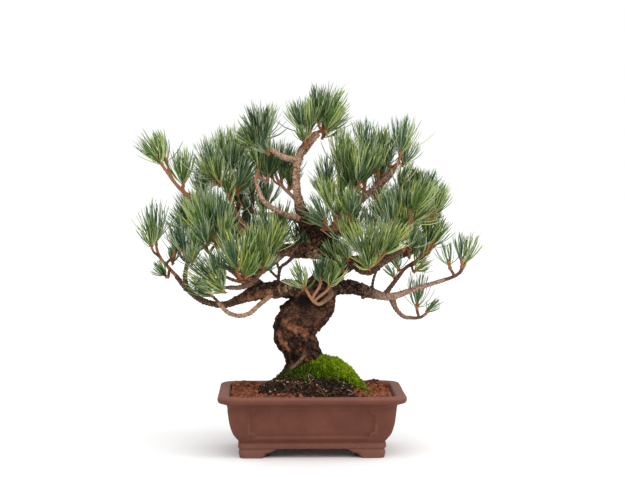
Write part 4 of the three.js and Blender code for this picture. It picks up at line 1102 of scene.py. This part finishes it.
def bud_scales(shoot, rng):
    """A knot of small scales round the foot of a tuft."""
    side = unit(np.cross(shoot["along"], (0.3, 1, 0.2)))
    turn = rng.uniform(0, 2 * math.pi, SCALES_A_SHOOT)
    out = np.array([turned(side, shoot["along"], a) for a in turn])
    up = rng.uniform(-2.0, 4.5, SCALES_A_SHOOT)[:, None]
    away = TWIG_RADIUS * rng.uniform(0.8, 1.25, (SCALES_A_SHOOT, 1))
    middles = shoot["base"] + shoot["along"] * up + out * away
    return lumps(middles, rng.uniform(1.2, 2.5, SCALES_A_SHOOT), rng, 1.2)


print("a lump has", len(LUMP_POINTS), "points and", len(LUMP_FACES), "faces")

# %% [markdown]
# Now every mass is grown as three pieces: a spray of needles, its twigs, and its bud scales. A piece
# for each needle would choke Blender, and one piece for the whole crown couldn't say which solid it
# stands for. Each mass has a seed of its own, so a change to one leaves the others as they are.

# %% Grow every mass
def joined(parts):
    """Several (points, faces) as one."""
    offset, faces = 0, []
    for places, corners in parts:
        faces.extend((np.asarray(corners) + offset).tolist())
        offset += len(places)
    return np.vstack([places for places, _ in parts]), faces


needle_count = 0
for order, (name, shoots) in enumerate(trees.items()):
    draw = seeded(101 + 17 * order)
    rng = np.random.default_rng(1000 + order)
    sprays, spray_finish, twigs, twig_finish = [], [], [], []
    for shoot in shoots:
        bundles = bundles_of(shoot, draw, SPARSE.get(name, 1))
        start, middle, tip, inside = needle_lines(bundles, rng)
        width = NEEDLE_WIDTH * rng.uniform(0.85, 1.15, len(start))
        points, faces, pale = needle_mesh(start, middle, tip, inside, width)
        sprays.append((points, faces))
        shade = np.repeat(shades_of(name, len(bundles), rng), len(pale) // len(bundles))
        spray_finish.append(2 * shade + pale)
        points, faces, colour = twig_mesh(shoot, name, rng)
        twigs.append((points, faces))
        twig_finish.append(colour)
        needle_count += len(start)
    knots = [bud_scales(shoot, rng) for shoot in shoots]
    knot_finish = np.repeat(rng.integers(0, 2, len(knots) * SCALES_A_SHOOT), len(LUMP_FACES))
    node = ["needles_" + name]
    add_piece("spray_" + name, *joined(sprays), needle_finishes, node, "needles",
              np.concatenate(spray_finish), smooth=False)
    add_piece("twigs_" + name, *joined(twigs), TWIG_FINISHES, node, "bough_bark",
              np.concatenate(twig_finish))
    add_piece("buds_" + name, *joined(knots), [bud_red, twig_orange], node, "bough_bark", knot_finish)
print("needles", needle_count)

# %% [markdown]
# The pot was pressed in a mould: an oblong with round corners, a thick lip, a long sunk panel with
# scooped corners on each side, and four feet whose inner ends are cut in a scroll. It could be built
# from boxes with bevels, but a mould leaves no sharp edge anywhere. So the pot is made of rings of
# points that follow its outline, one for each height, all with the same number of points.

# %% Pot outline
RIM_LENGTH, RIM_DEPTH, RIM_CORNER = 203, 153, 20
GRID_STEP = 1.25


def ring_round(half_x, half_y, corner):
    """Points anticlockwise round an oblong with round corners, and the side of the pot each is on."""
    counts = [int(2 * (length / 2 - RIM_CORNER) / GRID_STEP) for length in (RIM_LENGTH, RIM_DEPTH)]
    ways = np.array([(1, 1), (-1, 1), (-1, -1), (1, -1)])
    arcs, sides = [], []
    for quarter, way in enumerate(ways):
        angle = (quarter + np.linspace(0, 1, 13)) * math.pi / 2
        round_it = np.stack([np.cos(angle), np.sin(angle)], 1)
        arcs.append(way * (half_x - corner, half_y - corner) + corner * round_it)
    places = []
    for quarter, arc in enumerate(arcs):
        t = np.linspace(0, 1, counts[quarter % 2] + 1)[1:-1, None]
        places += [arc, arc[-1] + t * (arcs[(quarter + 1) % 4][0] - arc[-1])]
        sides += [np.full(len(arc), -1), np.full(len(t), quarter % 2)]
    return np.vstack(places), np.concatenate(sides)


def pot_rows(profile, step):
    """The profile's rows with more in between, evenly along it."""
    run = run_along(np.array(profile, float))
    at = np.linspace(0, run[-1], int(run[-1] / step) + 1)
    return along_path(profile, np.interp(at, run, np.linspace(0, 1, len(run))))


def pot_ring(inset, height, sharpest=6):
    """A ring of points inside the rim's outline. Its height is a number or a function of x and y."""
    corner = max(RIM_CORNER - 0.6 * inset, sharpest)
    flat, _ = ring_round(RIM_LENGTH / 2 - inset, RIM_DEPTH / 2 - inset, corner)
    z = height(*flat.T) if callable(height) else np.full(len(flat), height)
    return np.column_stack([flat, z])


print("points round the pot", len(pot_ring(0, 0)))

# %% [markdown]
# The wall is one fine grid, up the outside, over the lip and down the inside. The panels are pressed
# into it by a formula: it asks how far inside a panel's outline each point lies, and moves the point
# in. Just outside the outline the same number raises a bead. The lip and the lower bead get a painted
# highlight, paler where light falls on them, and the wall's foot is paler where trays have rubbed it.
# How much of each is kept for each point.

# %% Pot wall with its panels
OUTSIDE = [  # height, and how far inside the rim's outline
    (10.5, 22.5), (11.5, 21.9), (13.6, 21.7), (16, 22), (17.2, 23.1), (20, 20.8), (27, 15.9), (38, 12.6),
    (48, 11.3), (54.5, 10.5), (57.8, 9.3), (59.6, 4.8), (60.6, 1.8), (62.4, 0.4), (65.4, 0.1), (67.2, 0.9),
    (68, 2.6),
]
INSIDE = [(68, 4), (67.9, 9), (67.2, 11.3), (65.5, 12), (58, 14), (40, 21), (21, 28), (15.3, 31), (15, 36)]
PANEL_FOOT, PANEL_HEAD, PANEL_NOTCH = 24, 54, 6
LONG_PANEL, SHORT_PANEL = 66, 40  # half lengths
PRESS_DEPTH, BEAD_HEIGHT = 2.0, 0.8


def panel_edge(u, z, half_length):
    """How far inside a panel's outline a point lies, in millimetres; below 0 it is outside."""
    half_height = (PANEL_HEAD - PANEL_FOOT) / 2
    du = np.abs(u) - half_length
    dz = np.abs(z - (PANEL_HEAD + PANEL_FOOT) / 2) - half_height
    return np.minimum(-np.maximum(du, dz), np.hypot(du, dz) - PANEL_NOTCH)


_, side_of = ring_round(RIM_LENGTH / 2, RIM_DEPTH / 2, RIM_CORNER)
wall = np.array([pot_ring(inset, z) for z, inset in pot_rows(OUTSIDE, 0.8)])
outward = np.zeros_like(wall)
outward[..., 0] = np.where(side_of == 1, np.sign(wall[..., 0]), 0)
outward[..., 1] = np.where(side_of == 0, np.sign(wall[..., 1]), 0)
u = np.where(side_of == 0, wall[..., 0], wall[..., 1])
inside_edge = panel_edge(u, wall[..., 2], np.where(side_of == 0, LONG_PANEL, SHORT_PANEL))
pressed = smooth_step(inside_edge, -0.9, 1.3)
bead = np.exp(-((inside_edge + 1.9) / 1.3) ** 2)
wall += outward * (BEAD_HEIGHT * bead - PRESS_DEPTH * pressed)[..., None]
basin = np.array([pot_ring(inset, z) for z, inset in pot_rows(INSIDE, 1.6)])
shell = np.concatenate([wall, basin])
# Painted highlight: the lip's top and the lower bead are made paler where light falls on them. The wall's
# foot is paler with wear.
lip_highlight = smooth_step(wall[..., 2], 63.5, 67.5)
foot_rub = 0.5 * smooth_step(wall[..., 2], 17.5, 15.5)
low_bead_highlight = bead * (wall[..., 2] < (PANEL_HEAD + PANEL_FOOT) / 2) * (side_of >= 0)
wear_and_highlight = np.concatenate([np.clip(0.45 * low_bead_highlight + lip_highlight + foot_rub, 0, 1), np.ones(basin.shape[:2])])
pot_points = shell.reshape(-1, 3)
hand = np.array([noise.fractal(Vector(p) / 22, 0.8, 2, 2) for p in pot_points])
pot_points[:, :2] += 0.28 * hand[:, None] * unit(pot_points[:, :2])
pot_faces = grid_faces(*shell.shape[:2])
pot_faces.append(list(range(len(pot_points) - len(side_of), len(pot_points))))
print("pot faces", len(pot_faces))

# %% [markdown]
# Under the wall there is a flat base with four feet. Seen from the side, a foot's lower edge is level
# near the corner and then sweeps up in a scroll. A skirt of clay follows the base's outline all round,
# and its lower edge is lifted between the feet by that scroll's curve.

# %% Pot feet
FOOT_INSET, FOOT_CORNER, FOOT_ROWS = 23.5, 6.8, 14
FOOT_HEIGHT, FOOT_WALL = 10.5, 15
LONG_ARCH, SHORT_ARCH = (54, 41), (30, 19)  # from a side's middle to a foot, and to its scroll's top


def arch_lift(u, arch):
    """Height of the skirt's lower edge at a distance u from the middle of a side."""
    (foot, head), top = arch, FOOT_HEIGHT
    curve = bezier([(foot, 0.6), (foot - 1, top * 0.75), (head + 5, top * 0.35), (head, top * 0.85)],
                   np.linspace(0, 1, 30))
    outline = np.vstack([curve, [(head - 4, top)]])[::-1]
    return np.where(np.abs(u) < foot, np.interp(np.abs(u), outline[:, 0], outline[:, 1]), 0)


half_x, half_y = RIM_LENGTH / 2 - FOOT_INSET, RIM_DEPTH / 2 - FOOT_INSET
outer, _ = ring_round(half_x, half_y, FOOT_CORNER)
inner, _ = ring_round(half_x - FOOT_WALL, half_y - FOOT_WALL, 2)
lift = np.where(side_of == 0, arch_lift(outer[:, 0], LONG_ARCH),
                np.where(side_of == 1, arch_lift(outer[:, 1], SHORT_ARCH), 0))
skirt = []
for share in np.linspace(0, 1, FOOT_ROWS):  # down the outside
    z = FOOT_HEIGHT + 0.4 - share * (FOOT_HEIGHT - 0.1 - lift)
    swell = 0.9 * np.sin(share * math.pi) ** 2
    skirt.append(np.column_stack([outer * (1 + swell / 78), z]))
skirt.append(np.column_stack([outer * 0.992, lift]))
skirt.append(np.column_stack([inner, lift]))
skirt.append(np.column_stack([inner, np.full(len(inner), FOOT_HEIGHT)]))
skirt = np.array(skirt)
pits = np.array([noise.fractal(Vector(p) / 1.8, 0.7, 2.1, 2) for p in skirt.reshape(-1, 3)])
push = 0.32 * pits.reshape(skirt.shape[:2])[..., None] * unit(skirt[..., :2])
skirt[1:FOOT_ROWS - 1, :, :2] += push[1:FOOT_ROWS - 1]
feet_points, feet_faces = capped(skirt[::-1])
print("foot skirt faces", len(feet_faces))

# %% [markdown]
# The clay is unglazed stoneware: red-brown and matt, with fine pits and light grains in it. The lip and
# the lower bead are a little greyer and paler as a painted highlight, and so are the feet and the wall's
# foot, where trays have rubbed them.

# %% Clay finish
CLAY = (0.152, 0.053, 0.035)
CLAY_DARK = (0.120, 0.042, 0.028)
CLAY_WORN_AND_LIT = (0.200, 0.090, 0.067)
CLAY_GRAIN = (0.400, 0.270, 0.200)

clay = Finish("unglazed_clay", CLAY, 0.7, 0.12)
lit_and_worn = clay.stored("wear_and_highlight")
body = clay.blend(clay.clouds(0.03, 3).between(0.35, 0.7), CLAY_DARK, CLAY)
# The painted highlight on the lip and the lower bead, and the wear on the feet, blend towards the paler
# clay.
body = clay.blend(lit_and_worn * (0.45 + 0.5 * clay.clouds(0.006, 2)), body, CLAY_WORN_AND_LIT)
grains = clay.clouds(0.0015, 2).between(0.68, 0.74)
clay.colour(clay.blend(grains * (0.2 + 0.5 * lit_and_worn), body, CLAY_GRAIN))
clay.roughness(0.60 + 0.2 * clay.clouds(0.01, 2))
clay.grain(clay.clouds(0.0013, 3), 0.00025)

add_piece("pot_wall", pot_points, pot_faces, [clay], ["pot"], "pot", stored={"wear_and_highlight": wear_and_highlight.reshape(-1)})
add_piece("pot_feet", feet_points, feet_faces, [clay], ["pot"], "pot",
          stored={"wear_and_highlight": np.full(len(feet_points), 0.8)})
print("pot made")

# %% [markdown]
# The soil is baked-clay grit: angular red-brown grains 2 to 5 mm across, heaped a little over the rim
# in the back corners. Under the trunk lies a mound of dark, crumbly old root soil, and on its right
# the moss cushion swells higher still. It could be sculpted, but here one function gives the height of
# all this at any place, so that grains, crumbs and moss can be dropped on it later. A bed mesh carries
# the shape.

# %% Soil bed
SOIL_HEIGHT, SOIL_EDGE, FLOOR_HEIGHT = 66, 63.5, 15
EARTH = {"x": 0, "y": -8, "half_x": 64, "half_y": 46, "height": 28}
CUSHION = {"x": 14, "y": -8, "half_x": 48, "half_y": 40, "height": 40}
MOUND_POWER = 1.8
BED_INSETS = (*np.linspace(13.4, 20, 6), *np.linspace(23, 73, 26))  # of the rings of its top
# Height and then middle and reach, in x and y: grit heaped in the back corners, earth and moss banked
# up before the trunk's foot, and the moss cushion's fuller right flank.
HEAPS = ((5.0, -80, 46, 18, 18), (5.2, 74, 48, 18, 18))
APRON, FLANK = (7, -7, -25, 17, 10), (2.4, 36, -8, 12, 20)
HOLLOW_DEPTH, HOLLOW_X, HOLLOW_REACH = 1.8, -42, 10  # a dip across the soil at the left


def mound_height(x, y, mound):
    """Height of a mound over the soil's level, by the rule of the solids."""
    away = np.hypot((x - mound["x"]) / mound["half_x"], (y - mound["y"]) / mound["half_y"])
    return mound["height"] * (1 - np.minimum(away, 1) ** MOUND_POWER)


def hump(x, y, height, middle_x, middle_y, reach_x, reach_y, power=2):
    """A soft hump: its height in the middle, falling to 0 all round."""
    away = ((x - middle_x) / reach_x) ** power + ((y - middle_y) / reach_y) ** power
    return height * np.exp(-away)


def bed_height(x, y):
    """Height of the soil's surface over the ground."""
    from_wall = np.minimum(RIM_LENGTH / 2 - 13 - np.abs(x), RIM_DEPTH / 2 - 13 - np.abs(y))
    level = SOIL_EDGE - 0.8 + (SOIL_HEIGHT - SOIL_EDGE) * smooth_step(from_wall, 0, 16)
    for heap in HEAPS:
        level = level + hump(x, y, *heap)
    hollow = HOLLOW_DEPTH * np.exp(-(((x - HOLLOW_X) / HOLLOW_REACH) ** 2))
    return level + mound_height(x, y, EARTH) + 0.8 * hump(x, y, *APRON) - hollow


def unevenness(x, y, reach, seed):
    """Rolling noise, from about -1 to 1, for many places at once."""
    places = zip(x.ravel() / reach, y.ravel() / reach)
    return np.array([noise.fractal(Vector((a, b, seed)), 0.8, 2, 3) for a, b in places])


def cushion_height(x, y):
    """Height of the moss cushion over the ground: a mound with lumps and a fuller right flank."""
    z = mound_height(x, y, CUSHION)
    lumpy = unevenness(x, y, 7, 3.3).reshape(x.shape) * 1.9 * np.clip(z / 12, 0, 1)
    return SOIL_HEIGHT - 2.5 + z + lumpy + hump(x, y, *FLANK) + hump(x, y, *APRON)


def top_height(x, y):
    """Height of whatever lies on top there, soil or moss cushion."""
    return np.maximum(bed_height(x, y), cushion_height(x, y))


bed_sides = [pot_ring(inset, z) for z, inset in ((FLOOR_HEIGHT + 0.5, 33.8), (40, 21.8), (58, 14.8))]
bed_top = [pot_ring(inset, bed_height, 0.5) for inset in BED_INSETS]
bed_points, bed_faces = capped(np.array(bed_sides + bed_top))

grit_bed = Finish("grit_bed", (0.060, 0.022, 0.013), 0.95)
damp = grit_bed.clouds(0.004, 3)
grit_bed.colour(grit_bed.blend(damp, (0.030, 0.012, 0.008), (0.110, 0.038, 0.020)))
grit_bed.grain(damp, 0.001)
add_piece("grit_bed", bed_points, bed_faces, [grit_bed], ["soil"], "soil")
print("bed top", round(bed_points[:, 2].max(), 1), "mm")

# %% [markdown]
# Loose grains lie on the bed, so that the surface breaks up in light and shade as grit does. Bumps in
# the finish alone would leave its edge smooth. Lumps are dropped at random over the whole pot, and
# each kind is kept on its own ground: grains on the level grit, dark crumbs on the mound and where
# earth has spilt, and few of either under the moss.

# %% Grit and earth
GRAINS, CRUMBS = 3600, 15000  # dropped over the whole pot, before each is kept to its own ground
EARTH_SHARE = 0.16  # share of a mound's height from which the soil is dark and crumbly
SPILT = (0.24, 28, -58, 34, 22, 4)  # earth that spilt to the front rim, and on the left
SPILT_LEFT = (0.2, -52, -26, 14, 14)
MOSS_FROM = ((-62, -40, -25, -12, 20, 36, 56), (77, 82, 83, 84, 84, 80, 68.5))  # x, lowest height
GRIT_COLOURS = [(0.205, 0.066, 0.033), (0.140, 0.042, 0.022), (0.290, 0.110, 0.058), (0.070, 0.022, 0.013)]
EARTH_COLOURS = [(0.010, 0.008, 0.006), (0.024, 0.017, 0.012), (0.075, 0.040, 0.024), (0.300, 0.240, 0.170)]
GRIT_SHARES, EARTH_SHARES = [0.4, 0.28, 0.2, 0.12], [0.36, 0.34, 0.26, 0.04]


def plain_finishes(stem, colours, roughness):
    return [Finish("%s_%d" % (stem, i), colour, roughness) for i, colour in enumerate(colours)]


def in_pot(rng, count, margin=14.5):
    """Random places inside the rim."""
    half_x, half_y, corner = RIM_LENGTH / 2 - margin, RIM_DEPTH / 2 - margin, 10
    x, y = rng.uniform(-half_x, half_x, count), rng.uniform(-half_y, half_y, count)
    over_x, over_y = np.abs(x) - (half_x - corner), np.abs(y) - (half_y - corner)
    kept = ~((over_x > 0) & (over_y > 0) & (np.hypot(over_x, over_y) > corner))
    return x[kept], y[kept]


def mound_share(x, y):
    """0 on the level grit, up to 1 on top of the mound or the cushion, and some where earth spilt."""
    earth = mound_height(x, y, EARTH) / EARTH["height"]
    mound = np.maximum(earth, mound_height(x, y, CUSHION) / CUSHION["height"])
    return mound + hump(x, y, *SPILT) + hump(x, y, *SPILT_LEFT)


def green_share(x, y):
    """Above 0 where moss grows: high on the mound, and further down towards the right."""
    return (top_height(x, y) - np.interp(x, *MOSS_FROM)) / 4


soil_rng = np.random.default_rng(7)


def strew(name, x, y, ground, sizes, finishes, chances):
    """Lays loose lumps on the ground, each in a colour drawn by those chances."""
    points, faces = lumps(np.column_stack([x, y, ground]), sizes, soil_rng)
    colour = np.repeat(soil_rng.choice(4, len(x), p=chances), len(LUMP_FACES))
    add_piece(name, points, faces, finishes, ["soil"], "soil", colour, smooth=False)
    print(name, len(x))


grit_finishes = plain_finishes("grit", GRIT_COLOURS, 0.92)
earth_finishes = plain_finishes("earth", EARTH_COLOURS, 0.95)
x, y = in_pot(soil_rng, GRAINS)
is_grit = mound_share(x, y) + soil_rng.normal(0, 0.05, len(x)) < EARTH_SHARE
x, y = x[is_grit], y[is_grit]
sizes = soil_rng.uniform(2.4, 5.8, len(x))
strew("grit_grains", x, y, bed_height(x, y) + 0.12 * sizes, sizes, grit_finishes, GRIT_SHARES)

x, y = in_pot(soil_rng, CRUMBS)
on_mound = mound_share(x, y) + soil_rng.normal(0, 0.06, len(x)) > EARTH_SHARE
bare = green_share(x, y) < soil_rng.normal(0.4, 0.6, len(x))
x, y = x[on_mound & bare], y[on_mound & bare]
sizes = soil_rng.uniform(1.1, 3.4, len(x)) ** 1.05
strew("earth_crumbs", x, y, top_height(x, y) + 0.15 * sizes, sizes, earth_finishes, EARTH_SHARES)

# %% [markdown]
# A mound like this is never clean. Pale hair roots and dead stalks stick out of it, and old needles
# have dropped on the grit. A few strands are enough for the eye.

# %% Hair roots and fallen needles
ROOTS, LITTER, LITTER_LENGTH, LITTER_UP = 46, 60, 13, 2.6
root_pale = Finish("root_pale", (0.420, 0.290, 0.190))
needle_dead = Finish("needle_dead", (0.210, 0.095, 0.035))

strand_rng = np.random.default_rng(31)
turn, away = strand_rng.uniform(0, 2 * math.pi, ROOTS), strand_rng.uniform(0.45, 0.98, ROOTS)
x, y = EARTH["x"] + 10 + 60 * away * np.cos(turn), EARTH["y"] + 44 * away * np.sin(turn)
start = np.column_stack([x, y, top_height(x, y) + 0.4])
way = strand_rng.normal(0, 1, (ROOTS, 3)) * (1, 1, 0.35)
long = strand_rng.uniform(5, 13, ROOTS)[:, None]
tip = start + unit(way) * long
tip[:, 2] = top_height(tip[:, 0], tip[:, 1]) + strand_rng.uniform(0.6, 3.0, ROOTS)
middle = (start + tip) / 2 + strand_rng.normal(0, 1.5, (ROOTS, 3)) + (0, 0, 2)
strands, strand_faces, _ = needle_mesh(
    start, middle, tip, strand_rng.normal(0, 1, (ROOTS, 3)), strand_rng.uniform(0.5, 1.0, ROOTS))
strand_finish = np.repeat(strand_rng.integers(0, 2, ROOTS), len(strand_faces) // ROOTS)
add_piece("hair_roots", strands, strand_faces, [root_pale, needle_dead], ["soil"], "soil", strand_finish)

x, y = in_pot(strand_rng, LITTER, 18)
turn = strand_rng.uniform(0, 2 * math.pi, len(x))
tip_x, tip_y = x + LITTER_LENGTH * np.cos(turn), y + LITTER_LENGTH * np.sin(turn)
inside = (np.abs(tip_x) < 84) & (np.abs(tip_y) < 59)
x, y, tip_x, tip_y = x[inside], y[inside], tip_x[inside], tip_y[inside]
start = np.column_stack([x, y, top_height(x, y) + LITTER_UP])
tip = np.column_stack([tip_x, tip_y, top_height(tip_x, tip_y) + LITTER_UP])
middle = (start + tip) / 2 + strand_rng.normal(0, 1.5, (len(x), 3)) * (1, 1, 0) + (0, 0, 1.0)
litter, litter_faces, _ = needle_mesh(
    start, middle, tip, strand_rng.normal(0, 1, (len(x), 3)), np.full(len(x), 0.9))
add_piece("fallen_needles", litter, litter_faces, [needle_dead], ["soil"], "soil")
print("hair roots", ROOTS, "fallen needles", len(x))

# %% [markdown]
# Moss is thousands of tiny leafy stems. Seen from a metre away it is a soft cushion with a velvet
# edge, thick and bright on the right of the trunk's foot, and dull and patchy to the left. Its blades
# are given brighter shades higher up and further right, as painted light. Lower down the cushion is
# bare dark earth. So the domed mesh is coloured by height, and short three-sided blades stand on its
# green part.

# %% Moss
moss_rng = np.random.default_rng(21)
angle = np.linspace(0, 2 * math.pi, 121)[:-1]
away = np.linspace(1, 0.02, 34)[:, None] * np.ones_like(angle)
x = CUSHION["x"] + CUSHION["half_x"] * away * np.cos(angle)
y = CUSHION["y"] + CUSHION["half_y"] * away * np.sin(angle)
cushion_points, cushion_faces = capped(np.stack([x, y, cushion_height(x, y)], -1))
moss_under = Finish("moss_under", (0.030, 0.055, 0.004), 0.95)
tufted = moss_under.clouds(0.005, 3)
green = moss_under.blend(tufted, (0.012, 0.025, 0.002), (0.045, 0.085, 0.004))
earthy = moss_under.blend(tufted, (0.012, 0.009, 0.007), (0.040, 0.026, 0.017))
moss_under.colour(moss_under.blend(moss_under.stored("green").between(0.0, 1.0), earthy, green))
moss_under.grain(tufted, 0.001)
add_piece("moss_cushion", cushion_points, cushion_faces, [moss_under], ["moss"], "moss",
          stored={"green": green_share(x, y).ravel()})

MOSS_SHADES = [(0.024, 0.042, 0.003), (0.062, 0.115, 0.005), (0.130, 0.220, 0.006), (0.300, 0.400, 0.012)]
BLADES, BLADE_WIDTH = 30000, 0.95
BRIGHT_CLUMP = (2.4, -44, -25, 6, 9)  # a small clump of new moss at the left
TRUNK_FOOT = 17  # no moss grows nearer than this to the trunk's middle
moss_finishes = plain_finishes("moss", MOSS_SHADES, 0.8)
x, y = moss_rng.uniform(-66, 62, BLADES), moss_rng.uniform(-56, 36, BLADES)
to_trunk = np.hypot(x + 8, (y + 2) * 1.1)
patchy = unevenness(x, y, 5, 0.0)
dense = np.interp(x, (-62, -40, -22, -5, 10), (0.25, 0.45, 0.55, 0.8, 1.0))
shows = green_share(x, y) > 0.2 - 0.9 * patchy + moss_rng.normal(0, 0.3, BLADES)
shows &= (to_trunk > TRUNK_FOOT) & (moss_rng.random(BLADES) < dense)
x, y, patchy = x[shows], y[shows], patchy[shows]
root = np.column_stack([x, y, top_height(x, y) - 0.8])
slope = np.column_stack([(x - CUSHION["x"]) / CUSHION["half_x"], (y - CUSHION["y"]) / CUSHION["half_y"]])
way = unit(np.column_stack([slope * 0.9, np.full(len(x), 0.9)]) + moss_rng.normal(0, 0.42, (len(x), 3)))
tall = (2.0 + 3.2 * moss_rng.random(len(x)) ** 1.5 + 0.8 * patchy)[:, None]
tip = root + way * tall
middle = (root + tip) / 2 + moss_rng.normal(0, 0.45, (len(x), 3))
pale_side, width = moss_rng.normal(0, 1, (len(x), 3)), np.full(len(x), BLADE_WIDTH)
points, faces, _ = needle_mesh(root, middle, tip, pale_side, width)
# Painted light: blades higher up and further right get brighter shades, as if lit from above and the right,
# mixed with patchiness and chance.
lit = (x - 12) / 20 + (root[:, 2] - 88) / 14 + 1.5 * patchy + moss_rng.normal(0, 0.8, len(x))
lit += hump(x, y, *BRIGHT_CLUMP)
moss_shade = np.select([lit > 1.8, lit > 0.5, lit > -1.0], [3, 2, 1], 0)
moss_shade = np.repeat(moss_shade, len(faces) // len(x))
add_piece("moss_leaves", points, faces, moss_finishes, ["moss"], "moss", moss_shade)
print("moss blades", len(x))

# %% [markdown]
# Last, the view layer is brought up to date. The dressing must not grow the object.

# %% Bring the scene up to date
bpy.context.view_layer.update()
